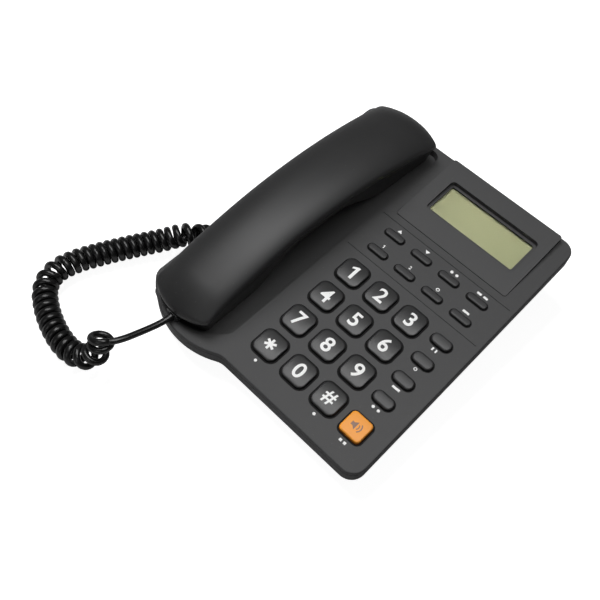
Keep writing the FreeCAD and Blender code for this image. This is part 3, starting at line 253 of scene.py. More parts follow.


# The last tone of each key plastic is painted shade for the cap's walls, darker than the top in place of
# their shadow.
KEY_PLASTIC = cap_plastic("key_plastic", grey(0.026), grey(0.032), 0.36, grey(0.006))
BAR_PLASTIC = cap_plastic("bar_plastic", grey(0.038), grey(0.046), 0.46, grey(0.006))
# Near-black matt plastic for the painted shadow in the gaps round the keys.
GAP_SHADOW_PLASTIC = plastic("gap_shadow_plastic", grey(0.003), grey(0.005), 0.70, 2200, 0.00002, dust=0, specular=0.2)
ORANGE_PLASTIC = cap_plastic("orange_plastic", (0.95, 0.33, 0.026), (0.99, 0.39, 0.034), 0.45,
                             (0.60, 0.14, 0.012))


def bare_metal(name, tone, rough):
    """Metal whose roughness drifts with the grain."""
    material = plastic(name, tone, tuple(min(1, 1.15 * c) for c in tone), rough, 600, 0.00002, dust=0.03)
    material.node_tree.nodes["Principled BSDF"].inputs["Metallic"].default_value = 1
    return material


STEEL = bare_metal("screw_steel", (0.42, 0.42, 0.43), 0.34)
CAN_METAL = bare_metal("can_metal", (0.50, 0.50, 0.51), 0.30)


def clear_window():
    material = plastic("clear_window", (0.95, 0.96, 0.94), (0.97, 0.97, 0.96), 0.08, 500, 0.0, dust=0)
    shader = material.node_tree.nodes["Principled BSDF"]
    shader.inputs["Transmission Weight"].default_value = 1
    shader.inputs["IOR"].default_value = 1.46
    return material


WINDOW = clear_window()

# Curly cord, in metres: the route is the middle line of the curls, as in the part, from the base's plug
# round to the upright end. The cord is a little wider along the coil than across it, so the curls lie close.
WIRE = 3.8 * MM
OVAL = 1.1
COIL_RADIUS = 5.5 * MM
CURL_PITCH = 4.35 * MM
CURL_GAP = 0.6 * MM
TIGHTEST = 0.2
CURLS = 35.25
ROUTE = np.array([
    (-90.0, -40.8, 7.8), (-91.6, -46.0, 11.0), (-97.0, -52.0, 12.6), (-105.0, -63.4, 8.2),
    (-114.0, -81.0, 7.8), (-121.0, -97.0, 7.8), (-126.8, -112.0, 7.8), (-128.6, -126.0, 7.8),
    (-122.4, -137.0, 7.8), (-109.4, -144.5, 7.8), (-95.4, -149.4, 7.8), (-82.0, -151.4, 8.0),
    (-71.6, -149.8, 9.6), (-65.4, -145.2, 14.2), (-64.0, -141.0, 19.8), (-65.2, -138.9, 25.0),
    (-66.8, -137.2, 30.0)]) * MM
FINE_STEP = 0.1 * MM
SPLINE_STEPS = 40
STEPS_PER_TURN = 28
TUBE_SIDES = 14

# Straight lead: lengths in cord diameters that run straight on from the coil and out of the handset's plug
KNEE = 1.2
PLUG_RUN = 1.5
LEAD_SAG = 0.6 * MM
LEAD_STEPS = 60

# Handset plug, front face and middle height in the deck frame
HANDSET_PLUG_FRONT = -71.5
HANDSET_PLUG_W = 3.2


def smooth_line(name, points):
    """Points read from a NURBS spline that has the given control points."""
    curve = bpy.data.curves.new(name, "CURVE")
    curve.dimensions = "3D"
    curve.resolution_u = SPLINE_STEPS
    spline = curve.splines.new("NURBS")
    spline.points.add(len(points) - 1)
    spline.points.foreach_set("co", np.c_[points, np.ones(len(points))].ravel())
    spline.order_u = 3
    spline.use_endpoint_u = True
    carrier = bpy.data.objects.new(name, curve)
    mesh = bpy.data.meshes.new_from_object(carrier)
    line = np.empty(len(mesh.vertices) * 3)
    mesh.vertices.foreach_get("co", line)
    bpy.data.objects.remove(carrier)
    bpy.data.meshes.remove(mesh)
    return line.reshape(-1, 3)


def even_steps(line, count):
    """The same line at a count of even steps along its length."""
    run = np.r_[0, np.cumsum(np.linalg.norm(np.diff(line, axis=0), axis=1))]
    stops = np.linspace(0, run[-1], count)
    return np.stack([np.interp(stops, run, line[:, axis]) for axis in range(3)], 1)


def length_of(line):
    return float(np.linalg.norm(np.diff(line, axis=0), axis=1).sum())


def untwisted_sides(line):
    """Tangents and two side vectors: the sides of an upright frame, turned back by its added-up twist."""
    ahead = unit(np.gradient(line, axis=0))
    up = np.array([0.0, 0.0, 1.0])
    side = unit(up - ahead * (ahead @ up)[:, None])
    other = np.cross(ahead, side)
    twist = np.r_[0, np.cumsum(np.sum(other[1:] * np.diff(side, axis=0), axis=1))][:, None]
    level = side * np.cos(twist) - other * np.sin(twist)
    return ahead, level, np.cross(ahead, level)


def helix(line):
    """Points turning round a line at the curls' radius; on bends the pitch widens to keep the gap inside."""
    ahead, side, other = untwisted_sides(line)
    bend = np.linalg.norm(np.gradient(ahead, axis=0), axis=1) / FINE_STEP
    pitch = np.maximum(CURL_PITCH, (WIRE + CURL_GAP) / np.maximum(TIGHTEST, 1 - bend * COIL_RADIUS))
    turn = np.r_[0, np.cumsum(FINE_STEP / pitch)[:-1]]
    angle = (2 * np.pi * turn)[:, None]
    return turn, line + COIL_RADIUS * (side * np.cos(angle) + other * np.sin(angle))


def hermite(start, start_way, end, end_way, count):
    """Cubic from one point and direction to another; the directions are as long as the chord."""
    t = np.linspace(0, 1, count)[:, None]
    span = np.linalg.norm(end - start)
    return ((2 * t**3 - 3 * t**2 + 1) * start + (t**3 - 2 * t**2 + t) * span * start_way
            + (3 * t**2 - 2 * t**3) * end + (t**3 - t**2) * span * end_way)


def tube(name, line, diameter, material, outward=None, oval=1.0):
    """Tube: a ring of points about every point of a line, in planes square to it, with closed ends.

    With an outward direction for every point, the ring is an oval with one axis that way, and oval is the
    share of the other axis."""
    ahead, side, other = untwisted_sides(line)
    if outward is not None:
        side = unit(outward - ahead * np.sum(outward * ahead, axis=1, keepdims=True))
        other = np.cross(ahead, side)
    angle = np.linspace(0, 2 * np.pi, TUBE_SIDES, endpoint=False)[None, :, None]
    around = side[:, None] * np.cos(angle) + oval * other[:, None] * np.sin(angle)
    rings = line[:, None] + diameter / 2 * around
    caps = [np.broadcast_to(end, (1, TUBE_SIDES, 3)) for end in (line[0], line[-1])]
    rings = np.concatenate([caps[0], rings, caps[1]])
    return new_piece(name, rings, grid_faces(len(rings), TUBE_SIDES, True), material)


def make_cord():
    """Curly cord from the base's plug to its upright end, and the straight lead on to the handset's plug."""
    low, high = (np.array(corner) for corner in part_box("base_plug"))
    base_exit = np.array([low[0], (low[1] + high[1]) / 2, (low[2] + high[2]) / 2])
    out = -RIGHT
    line = smooth_line("cord_route", ROUTE)
    line = even_steps(line, int(length_of(line) / FINE_STEP))
    turn, curls = helix(line)
    plug = to_deck(np.array(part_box("handset_plug")))
    handset_exit = from_deck([plug[:, 0].mean(), HANDSET_PLUG_FRONT, HANDSET_PLUG_W])
    target = handset_exit - BACK * PLUG_RUN * WIRE
    stops = np.linspace(0, CURLS, int(CURLS * STEPS_PER_TURN))
    coil, middle = [np.stack([np.interp(stops, turn, places[:, axis]) for axis in range(3)], 1)
                    for places in (curls, line)]
    start = base_exit + out * WIRE
    entry = hermite(start, out, coil[0], unit(coil[1] - coil[0]), STEPS_PER_TURN // 2)
    way = unit(coil[-1] - coil[-2])
    coil_end = coil[-1] + way * WIRE
    path = np.concatenate([base_exit[None], entry[:-1], coil, coil_end[None]])
    outward = unit(coil - middle)
    outward = np.concatenate([np.repeat(outward[:1], len(entry), 0), outward, outward[-1:]])
    piece = tube("curly_cord_coils", path, WIRE, CORD_JACKET, outward, OVAL)
    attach(piece, "base")
    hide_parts("curly_cord")
    knee = coil_end + way * KNEE * WIRE
    sag = np.array([0, 0, -LEAD_SAG])
    lead_points = np.array([coil_end, knee, (knee + target) / 2 + sag, target, handset_exit])
    lead_line = even_steps(smooth_line("lead_route", lead_points), LEAD_STEPS)
    lead = tube("straight_lead", lead_line, WIRE, CORD_JACKET)
    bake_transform(lead)
    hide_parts("cord_lead")


make_cord()

# Handset: outline in the deck plane, and the arch that its seam follows
GRIP_U = -72.0
GRIP_HALF = 21.2
GRIP_BACK = 132.2
TAIL_RADIUS = 36.0
TAIL_V = GRIP_BACK - TAIL_RADIUS
NOSE_V = -35.0
NOSE_RADIUS = 36.0
END_CORNER = 4.5
LEAST_CORNER = 0.8
END_STEPS = 60
ARCH_V = 32.0
ARCH_PEAK = 22.5
ARCH_RADIUS = 345.0
CROWN = 9.5
SIDE_WALL = 2.4
UNDERCUT = 0.8
GRIP_THICK = 11.0
HOLLOW_FRONT = -33.0
HOLLOW_BACK = 86.0
CUP_FOOT = -3.9
SEAM_GAP = 0.2
OUTLINE_STEPS = 220


def arch(v):
    """Height of the seam: an arc over the length of the handset."""
    return ARCH_PEAK - ARCH_RADIUS + np.sqrt(ARCH_RADIUS**2 - (v - ARCH_V)**2)


def arc_points(u, v, radius, start, end, count=24):
    angle = np.linspace(start, end, count)
    return np.stack([u + radius * np.cos(angle), v + radius * np.sin(angle)], 1)


def even_loop(corners, count):
    """A closed outline at a count of even steps along its length."""
    closed = np.concatenate([corners, corners[:1]])
    run = np.r_[0, np.cumsum(np.linalg.norm(np.diff(closed, axis=0), axis=1))]
    stops = np.linspace(0, run[-1], count, endpoint=False)
    return np.stack([np.interp(stops, run, closed[:, axis]) for axis in range(2)], 1)


def handset_outline(step):
    """Straight sides, and an arc with small corners at either end, moved in by a step."""
    half = GRIP_HALF - step
    small = max(LEAST_CORNER, END_CORNER - step)
    across = half - small
    nose, tail = NOSE_RADIUS - step, TAIL_RADIUS - step
    nose_drop = math.sqrt((nose - small)**2 - across**2)
    tail_rise = math.sqrt((tail - small)**2 - across**2)
    nose_turn, tail_turn = math.atan2(nose_drop, across), math.atan2(tail_rise, across)
    half_turn, whole = math.pi, 2 * math.pi
    return even_loop(np.concatenate([
        arc_points(GRIP_U + across, TAIL_V + tail_rise, small, 0, tail_turn),
        arc_points(GRIP_U, TAIL_V, tail, tail_turn, half_turn - tail_turn, END_STEPS),
        arc_points(GRIP_U - across, TAIL_V + tail_rise, small, half_turn - tail_turn, half_turn),
        arc_points(GRIP_U - across, NOSE_V - nose_drop, small, half_turn, half_turn + nose_turn),
        arc_points(GRIP_U, NOSE_V, nose, half_turn + nose_turn, whole - nose_turn, END_STEPS),
        arc_points(GRIP_U + across, NOSE_V - nose_drop, small, whole - nose_turn, whole)]), OUTLINE_STEPS)


def towards_spine(outline, shares):
    """Outlines drawn in to the handset's middle line by shares of the way, 0 at the edge and 1 there."""
    spine = np.stack([np.full(len(outline), GRIP_U),
                      np.clip(outline[:, 1], NOSE_V - NOSE_RADIUS + GRIP_HALF, GRIP_BACK - GRIP_HALF)], 1)
    shares = np.asarray(shares)[:, None, None]
    return outline * (1 - shares) + spine * shares


# The handset's widening towards its ear end
FLARE_V = 0.0
FLARE_LONG = 120.0
FLARE_WIDER = 0.125
FLARE_ASIDE = 3.4
FLARE_POWER = 1.3


def flared(points):
    """Points of the handset spread and moved to the right by a power of the way to its ear end."""
    share = (np.clip(points[..., 1] - FLARE_V, 0, None) / FLARE_LONG)**FLARE_POWER
    wide = GRIP_U + (points[..., 0] - GRIP_U) * (1 + FLARE_WIDER * share) + FLARE_ASIDE * share
    return np.stack([wide, points[..., 1], points[..., 2]], -1)


def smooth_step(x):
    x = np.clip(x, 0, 1)
    return x * x * (3 - 2 * x)


# The top shell's crown: how it falls across the width and rolls down at the ends
FRONT_ROLL = 20.0
FRONT_FALL = 0.6
BACK_ROLL = 16.0
BACK_FALL = 0.5
CROWN_POWER = 2.2
CROWN_FALL = 0.8
TOP_EDGE = 1.2
TOP_EDGE_SHARE = 0.06
SEAM_EDGE = 0.3
LID_STEP = 0.4


def crown_height(u, v):
    """Height above the seam: a side wall, then a broad swell over the width that rolls down at both ends."""
    aside = np.minimum(GRIP_HALF, np.abs(u - GRIP_U))
    across = (CROWN - SIDE_WALL) * (1 - (aside / GRIP_HALF)**CROWN_POWER)**CROWN_FALL
    front = np.clip((v - NOSE_V + np.sqrt(NOSE_RADIUS**2 - aside**2)) / FRONT_ROLL, 0, 1)
    back = np.clip((TAIL_V + np.sqrt(TAIL_RADIUS**2 - aside**2) - v) / BACK_ROLL, 0, 1)
    roll = (1 - (1 - front)**2)**FRONT_FALL * (1 - (1 - back)**2)**BACK_FALL
    return SIDE_WALL + across * roll


def make_top_shell():
    """Lid across the seam, side wall with a rounded top edge, and the crown drawn in to the spine."""
    lid = towards_spine(handset_outline(LID_STEP), [1, 0])
    lid = np.concatenate([lid, np.full(lid.shape[:2] + (1,), SEAM_GAP)], -1)
    wall = np.stack([handset_outline(SEAM_EDGE), handset_outline(0), handset_outline(0)])
    wall_rise = np.array([SEAM_GAP, SEAM_GAP + SEAM_EDGE, SIDE_WALL - TOP_EDGE])[:, None]
    wall = np.concatenate([wall, np.broadcast_to(wall_rise, wall.shape[:2])[..., None]], -1)
    shares = np.concatenate([[0.004, 0.014, 0.03, 0.055], np.linspace(0.09, 1, 22)])
    crown = towards_spine(handset_outline(0), shares)
    ease = np.clip(shares / TOP_EDGE_SHARE, 0, 1)[:, None]
    rise = crown_height(crown[..., 0], crown[..., 1]) - TOP_EDGE * (1 - np.sqrt(1 - (1 - ease)**2))
    crown = np.concatenate([crown, rise[..., None]], -1)
    points = np.concatenate([lid, wall, crown])
    points[..., 2] += arch(points[..., 1])
    faces = grid_faces(len(points), OUTLINE_STEPS, True)
    piece = new_piece("handset_top", from_deck(flared(points)), faces, HANDSET_PLASTIC)
    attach(piece, "handset")
    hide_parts("handset_top_shell")


# The lower shell's soft steps, foot edge and lean of its wall
HOLLOW_ROLL = 44.0
FOOT_ROUND = 3.0
WALL_LEAN = 2.2


def under_height(v):
    """Underside of the lower shell: flat cups at the ends and the arched grip between, with soft steps."""
    grip = arch(v) - GRIP_THICK
    share = smooth_step((v - HOLLOW_FRONT) / HOLLOW_ROLL) * smooth_step((HOLLOW_BACK - v) / HOLLOW_ROLL)
    return CUP_FOOT + (grip - CUP_FOOT) * share


def make_lower_shell():
    """Lid under the seam, leaning wall, rounded foot edge, then the underside drawn in to the spine."""
    lid = towards_spine(handset_outline(UNDERCUT), [1, 0])
    leans = np.linspace(0, 1, 6)
    wall = np.stack([handset_outline(UNDERCUT + WALL_LEAN * lean) for lean in leans])
    angles = np.linspace(0, np.pi / 2, 6)[1:]
    steps = UNDERCUT + WALL_LEAN + FOOT_ROUND * (1 - np.cos(angles))
    edge = np.stack([handset_outline(step) for step in steps])
    floor = towards_spine(edge[-1], np.linspace(0.1, 1, 10))
    upper = np.concatenate([lid, wall])
    lower = np.concatenate([edge, floor])
    top = arch(upper[..., 1]) - SEAM_GAP
    drop = np.concatenate([np.zeros(len(lid)), leans])[:, None]
    upper_height = top + (under_height(upper[..., 1]) + FOOT_ROUND - top) * drop
    lift = np.concatenate([FOOT_ROUND * (1 - np.sin(angles)), np.zeros(len(floor))])[:, None]
    height = np.concatenate([upper_height, under_height(lower[..., 1]) + lift])
    points = np.concatenate([np.concatenate([upper, lower]), height[..., None]], -1)
    faces = grid_faces(len(points), OUTLINE_STEPS, True)
    piece = new_piece("handset_lower", from_deck(flared(points)), faces, LOWER_SHELL_PLASTIC)
    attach(piece, "handset")
    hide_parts("handset_bottom_shell")


make_top_shell()
make_lower_shell()

# Key caps: foot under the deck, least corner, and shares of the edge's height where the painted shade of the
# walls sets in
LOOP_STEPS = 72
CAP_FOOT = -2.4
CAP_CORNER = 0.3
WALL_SHADE_START = 0.6
WALL_SHADE_SPAN = 1.2


def rounded_loop(half_u, half_v, corner):
    """Rounded rectangle about the middle, at even steps."""
    quarter = math.pi / 2
    return even_loop(np.concatenate([
        arc_points(half_u - corner, half_v - corner, corner, 0, quarter),
        arc_points(corner - half_u, half_v - corner, corner, quarter, 2 * quarter),
        arc_points(corner - half_u, corner - half_v, corner, 2 * quarter, 3 * quarter),
        arc_points(half_u - corner, corner - half_v, corner, 3 * quarter, 4 * quarter)]), LOOP_STEPS)


# Shares of a cap's crown that fall across it and along it
ACROSS_SHARE = 0.3
ALONG_SHARE = 0.7


def cap_sag(u, v, half_u, half_v, crown, slope):
    """Drop of a cap's top from its middle: squares of the ways across and along, less the slope."""
    return crown * (ACROSS_SHARE * (u / half_u)**2 + ALONG_SHARE * (v / half_v)**2) - slope * v


def cap_points(half_u, half_v, corner, rise, edge, crown, lean, slope):
    """Key cap: closed foot, wall that leans in, quarter-round edge, and a top drawn in to the middle.

    The sag of the top is taken off every ring in proportion to its height over the foot."""
    angles = np.linspace(0, np.pi / 2, 7)
    steps = np.r_[0, lean, lean + edge * (1 - np.cos(angles[1:]))]
    heights = np.r_[CAP_FOOT, rise - edge, rise - edge + edge * np.sin(angles[1:])]
    rings = np.stack([rounded_loop(half_u - s, half_v - s, max(CAP_CORNER, corner - s)) for s in steps])
    rings = np.concatenate([rings, np.broadcast_to(heights[:, None, None], rings.shape[:2] + (1,))], -1)
    shares = np.linspace(1, 0, 9)[1:, None, None]
    inner = rings[-1:] * np.concatenate([shares, shares, np.ones_like(shares)], -1)
    points = np.concatenate([rings[:1] * np.array([0, 0, 1]), rings, inner])
    above = (points[..., 2] - CAP_FOOT) / (rise - CAP_FOOT)
    points[..., 2] -= above * cap_sag(points[..., 0], points[..., 1], half_u, half_v, crown, slope)
    return points


def key_centre(node):
    return to_deck(JOINTS[node + "_press"]["pos_m"])


def make_cap(node, shape, material):
    """A key's cap, with the depth below its top edge kept as an attribute of its points: the mask of the
    painted shade on its walls.
    """
    centre = key_centre(node)
    points = cap_points(**shape) + centre
    piece = new_piece(node + "_cap", from_deck(points), grid_faces(len(points), LOOP_STEPS, True), material)
    places = np.empty(len(piece.data.vertices) * 3)
    piece.data.vertices.foreach_get("co", places)
    height = to_deck(places.reshape(-1, 3))[:, 2] - centre[2]
    # Painted shade: this mask darkens the cap's walls below the top edge in place of their shadow.
    start = shape["rise"] - WALL_SHADE_START * shape["edge"]
    depth = smooth_step((start - height) / (WALL_SHADE_SPAN * shape["edge"]))
    piece.data.attributes.new("wall_shade_mask", "FLOAT", "POINT").data.foreach_set("value", depth)
    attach(piece, node + "_body")
    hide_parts(node)


DIAL = dict(half_u=8.2, half_v=8.2, corner=4.2, rise=2.5, edge=0.9, crown=1.1, lean=0.0, slope=0.0)
BAR = dict(half_u=6.8, half_v=2.4, corner=2.2, rise=1.6, edge=0.8, crown=0.25, lean=0.1, slope=-0.08)
SIDE = dict(half_u=6.6, half_v=3.7, corner=3.4, rise=2.2, edge=1.0, crown=0.5, lean=0.2, slope=0.0)
FREE = dict(half_u=7.3, half_v=7.3, corner=2.8, rise=2.5, edge=0.9, crown=0.4, lean=0.3, slope=0.0)

# Painted shadow in the gaps round the keys, as dark rings round the caps: widths, gap to the cap, depth in
# the deck and height over it
DIAL_GAP_SHADOW = 1.0
BAR_GAP_SHADOW = 0.6
FREE_GAP_SHADOW = 0.8
GAP_SHADOW_INSET = 0.1
GAP_SHADOW_FOOT = -0.3
GAP_SHADOW_TOP = 0.03


def make_well(node, shape, width):
    """Painted shadow of the gap round a key: a dark flat ring of rectangular section round the cap, let into
    the deck.
    """
    inner, outer = [rounded_loop(shape["half_u"] + step, shape["half_v"] + step, shape["corner"] + step)
                    for step in (GAP_SHADOW_INSET, GAP_SHADOW_INSET + width)]
    loops = np.stack([outer, outer, inner, inner, outer])
    heights = np.array([GAP_SHADOW_FOOT, GAP_SHADOW_TOP, GAP_SHADOW_TOP, GAP_SHADOW_FOOT, GAP_SHADOW_FOOT])[:, None]
    points = np.concatenate([loops, np.broadcast_to(heights, loops.shape[:2])[..., None]], -1)
    points = from_deck(points + key_centre(node))
    faces = grid_faces(len(points), LOOP_STEPS, True)
    piece = new_piece(node + "_gap_shadow", points, faces, GAP_SHADOW_PLASTIC, smooth=False)
    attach(piece, "base")


# Printed marks: height over their surface, depth under it, and the side of the squares they are cut into
PRINT_LIFT = 0.05
PRINT_SINK = 0.25
SLICE = 1.0


def flat_solid(curve):
    """A filled flat curve made into the mesh of a thin solid."""
    curve.extrude = 0.5
    carrier = bpy.data.objects.new("flat_mark", curve)
    mesh = bpy.data.meshes.new_from_object(carrier)
    bpy.data.objects.remove(carrier)
    return mesh


def glyph(text, weight):
    """Outline of a character, made heavier by a weight, as a thin solid."""
    curve = bpy.data.curves.new("glyph", "FONT")
    curve.body = text
    curve.offset = weight
    curve.resolution_u = 6
    return flat_solid(curve)


def outlines(*shapes):
    """Closed outlines as a thin solid; an outline inside another is a hole."""
    curve = bpy.data.curves.new("outlines", "CURVE")
    curve.dimensions = "2D"
    curve.fill_mode = "BOTH"
    for shape in shapes:
        spline = curve.splines.new("POLY")
        spline.points.add(len(shape) - 1)
        spline.points.foreach_set("co", np.c_[shape, np.zeros(len(shape)), np.ones(len(shape))].ravel())
        spline.use_cyclic_u = True
    return flat_solid(curve)


def make_print(name, mesh, height, place, surface, material, body):
    """Printed mark: a thin solid scaled to a height, cut into squares, and laid over a surface at a place.

    Its top stands over the surface by the print's lift, and its foot lies under it by the print's sink."""
    points = np.empty(len(mesh.vertices) * 3)
    mesh.vertices.foreach_get("co", points)
    points = points.reshape(-1, 3)
    low, high = points.min(0), points.max(0)
    points[:, :2] = (points[:, :2] - (low + high)[:2] / 2) * height / (high[1] - low[1])
    mesh.vertices.foreach_set("co", points.ravel())
    shape = bmesh.new()
    shape.from_mesh(mesh)
    bmesh.ops.remove_doubles(shape, verts=shape.verts, dist=1e-4)
    reach = np.abs(points[:, :2]).max()
    for cut in np.arange(-reach + SLICE / 2, reach, SLICE):
        for way in ((1, 0, 0), (0, 1, 0)):
            bmesh.ops.bisect_plane(shape, geom=shape.verts[:] + shape.edges[:] + shape.faces[:], dist=1e-4,
                                   plane_co=[cut * w for w in way], plane_no=way)
    bmesh.ops.triangulate(shape, faces=shape.faces)
    shape.to_mesh(mesh)
    shape.free()
    points = np.empty(len(mesh.vertices) * 3)
    mesh.vertices.foreach_get("co", points)
    points = points.reshape(-1, 3)
    faces = np.empty(len(mesh.polygons) * 3, int)
    mesh.polygons.foreach_get("vertices", faces)
    bpy.data.meshes.remove(mesh)
    points[:, 2] = (surface(points[:, 0] + place[0], points[:, 1] + place[1])
                    + np.where(points[:, 2] > 0, PRINT_LIFT, -PRINT_SINK))
    points[:, :2] += place[:2]
    piece = new_piece(name, from_deck(points), faces.reshape(-1, 3), material, smooth=False)
    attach(piece, body)


def cap_top(node, shape):
    """Height of a cap's top at a place on the deck, as in its surface."""
    centre = key_centre(node)

    def height(u, v):
        sag = cap_sag(u - centre[0], v - centre[1], shape["half_u"], shape["half_v"], shape["crown"],
                      shape["slope"])
        return centre[2] + shape["rise"] - sag
    return height


def deck_top(u, v):
    return np.zeros(np.shape(u))


DIGITS = {"key_star": "*", "key_hash": "#"} | {f"key_{n}": str(n) for n in range(10)}
DIGIT_HEIGHT = dict.fromkeys("0123456789", 9.5) | {"*": 7.0, "#": 8.4}
DIGIT_WEIGHT = 0.018
STAR_ARM = 3.5
STAR_WIDE = 1.5
ONE = np.array([(0.0, -4.2), (1.7, -4.2), (1.7, 4.2), (0.5, 4.2), (-2.0, 2.6), (-2.0, 1.2), (0.0, 2.3)])
STAR_DOT = np.array([-21.6, -56.6, 0])
HASH_DOT = np.array([22.0, -56.3, 0])
DOT_RADIUS = 0.9


def star():
    """Six arms: for each one two outer corners and the notch that follows it."""
    turn = np.pi / 2 + np.arange(6)[:, None] * np.pi / 3
    out = np.concatenate([np.cos(turn), np.sin(turn)], 1) * STAR_ARM
    aside = np.concatenate([-np.sin(turn), np.cos(turn)], 1) * STAR_WIDE / 2
    notch = np.concatenate([np.cos(turn + np.pi / 6), np.sin(turn + np.pi / 6)], 1) * STAR_WIDE
    return np.stack([out - aside, out + aside, notch], 1).reshape(-1, 2)


OWN_SHAPE = {"1": ONE, "*": star()}
for node, text in DIGITS.items():
    make_cap(node, DIAL, KEY_PLASTIC)
    make_well(node, DIAL, DIAL_GAP_SHADOW)
    mark = outlines(OWN_SHAPE[text]) if text in OWN_SHAPE else glyph(text, DIGIT_WEIGHT)
    make_print(node + "_print", mark, DIGIT_HEIGHT[text], key_centre(node), cap_top(node, DIAL), WHITE_PRINT,
               node + "_body")
for number in range(1, 9):
    make_cap(f"function_key_{number}", BAR, BAR_PLASTIC)
    make_well(f"function_key_{number}", BAR, BAR_GAP_SHADOW)
for number in range(1, 5):
    make_cap(f"side_key_{number}", SIDE, BAR_PLASTIC)
    make_well(f"side_key_{number}", SIDE, BAR_GAP_SHADOW)
make_cap("handsfree_key", FREE, ORANGE_PLASTIC)
make_well("handsfree_key", FREE, FREE_GAP_SHADOW)


def disc(u, v, radius):
    return arc_points(u, v, radius, 0, 2 * math.pi, 25)[:-1]


def bar(u, v, width, height):
    return np.array([(u - width / 2, v - height / 2), (u + width / 2, v - height / 2),
                     (u + width / 2, v + height / 2), (u - width / 2, v + height / 2)])


def arrow(u, v, width, height):
    """Triangle that points to the back, or to the front where the height is negative."""
    return np.array([(u - width / 2, v - height / 2), (u + width / 2, v - height / 2), (u, v + height / 2)])


def sound_wave(u, v, radius, width):
    """Band of an arc about a place, open to the right."""
    outer = arc_points(u, v, radius + width / 2, -0.8, 0.8, 14)
    inner = arc_points(u, v, radius - width / 2, 0.8, -0.8, 14)
    return np.concatenate([outer, inner])


# Generic marks printed on the deck: behind the bar keys, and in front of the side keys and the orange key
BAR_MARKS = {
    3: [disc(0, 0, 1.2), disc(0, 0, 0.65)], 4: [bar(0, 0, 4.5, 1.5)],
    5: [arrow(0, 0, 3.2, 2.3)], 6: [arrow(0, 0, 3.2, -2.3)],
    7: [disc(-1.8, 0, 1), disc(1.8, 0, 1)], 8: [bar(-2.2, 0, 3, 1.5), bar(2.2, 0, 3, 1.5)]}
BAR_NUMBERS = {1: "1", 2: "2"}
BAR_NUMBER_HEIGHT = 2.4
BAR_NUMBER_WEIGHT = 0.02
SIDE_MARKS = {
    1: [bar(-1.2, 0, 1, 2.2), bar(1.2, 0, 1, 2.2)], 2: [disc(0, 0, 1.1), disc(0, 0, 0.6)],
    3: [bar(0, 0, 5, 1.4)], 4: [disc(-1.8, 0, 0.9), disc(1.8, 0, 0.9)]}
BAR_MARK_STEP = 5.4
SIDE_MARK_STEP = -6.2
FREE_MARK_STEP = -10.4


def mark_height(shapes):
    tall = np.concatenate(shapes)[:, 1]
    return tall.max() - tall.min()


def make_mark(name, shapes, place, material=WHITE_PRINT, surface=deck_top, body="base"):
    make_print(name, outlines(*shapes), mark_height(shapes), place, surface, material, body)


for number, shapes in BAR_MARKS.items():
    place = key_centre(f"function_key_{number}") + [0, BAR_MARK_STEP, 0]
    make_mark(f"function_mark_{number}", shapes, place)
for number, text in BAR_NUMBERS.items():
    place = key_centre(f"function_key_{number}") + [0, BAR_MARK_STEP, 0]
    mark = outlines(ONE) if text == "1" else glyph(text, BAR_NUMBER_WEIGHT)
    make_print(f"function_mark_{number}", mark, BAR_NUMBER_HEIGHT, place, deck_top, WHITE_PRINT, "base")
for number, shapes in SIDE_MARKS.items():
    make_mark(f"side_mark_{number}", shapes, key_centre(f"side_key_{number}") + [0, SIDE_MARK_STEP, 0])
make_mark("handsfree_mark", [bar(-1.4, 0, 1.6, 1.6), bar(1.4, 0, 1.6, 1.6)],
          key_centre("handsfree_key") + [0, FREE_MARK_STEP, 0])
make_mark("star_dot", [disc(0, 0, DOT_RADIUS)], STAR_DOT)
make_mark("hash_dot", [disc(0, 0, DOT_RADIUS)], HASH_DOT)
SPEAKER_SIGN = [np.array([(-3.4, -1.1), (-2.0, -1.1), (-0.2, -2.6), (-0.2, 2.6), (-2.0, 1.1), (-3.4, 1.1)]),
                sound_wave(-0.6, 0, 2.0, 0.6), sound_wave(-0.6, 0, 3.5, 0.6)]
make_mark("handsfree_sign", SPEAKER_SIGN, key_centre("handsfree_key"), BROWN_PRINT,
          cap_top("handsfree_key", FREE), "handsfree_key_body")

# Mouth of the handset's cord jack in the front of the lower shell
MOUTH_HALF_U = 5.6
MOUTH_LOW = -1.4
MOUTH_HIGH = 7.6
MOUTH_CORNER = 1.2
MOUTH_DEEP = 3.0
MOUTH_PROUD = 0.15
MOUTH_EDGE = 0.05


def make_jack_mouth():
    """Dark opening round the plug: a rounded rectangle laid along the arc of the front wall."""
    loop = rounded_loop(MOUTH_HALF_U, (MOUTH_HIGH - MOUTH_LOW) / 2, MOUTH_CORNER)
    shares = np.array([1.0, 1.0, 0.96, 0.5, 0.0])[:, None]
    u = loop[None, :, 0] * shares
    w = loop[None, :, 1] * shares + (MOUTH_LOW + MOUTH_HIGH) / 2
    top = arch(NOSE_V - NOSE_RADIUS) - SEAM_GAP
    lean = np.clip((top - w) / (top - CUP_FOOT - FOOT_ROUND), 0, 1)
    radius = NOSE_RADIUS - UNDERCUT - WALL_LEAN * lean
    proud = np.array([-MOUTH_DEEP, MOUTH_EDGE, MOUTH_PROUD, MOUTH_PROUD, MOUTH_PROUD])[:, None]
    v = NOSE_V - np.sqrt(radius**2 - u**2) - proud
    rings = np.stack([u + GRIP_U, v, w], -1)
    back = rings[:1] * np.array([0, 1, 0]) + np.array([GRIP_U, 0, (MOUTH_LOW + MOUTH_HIGH) / 2])
    rings = np.concatenate([np.broadcast_to(back.mean(1, keepdims=True), back.shape), rings])
    piece = new_piece("handset_jack_mouth", from_deck(rings), grid_faces(len(rings), LOOP_STEPS, True),
                      JACK_PLASTIC)
    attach(piece, "handset")


make_jack_mouth()

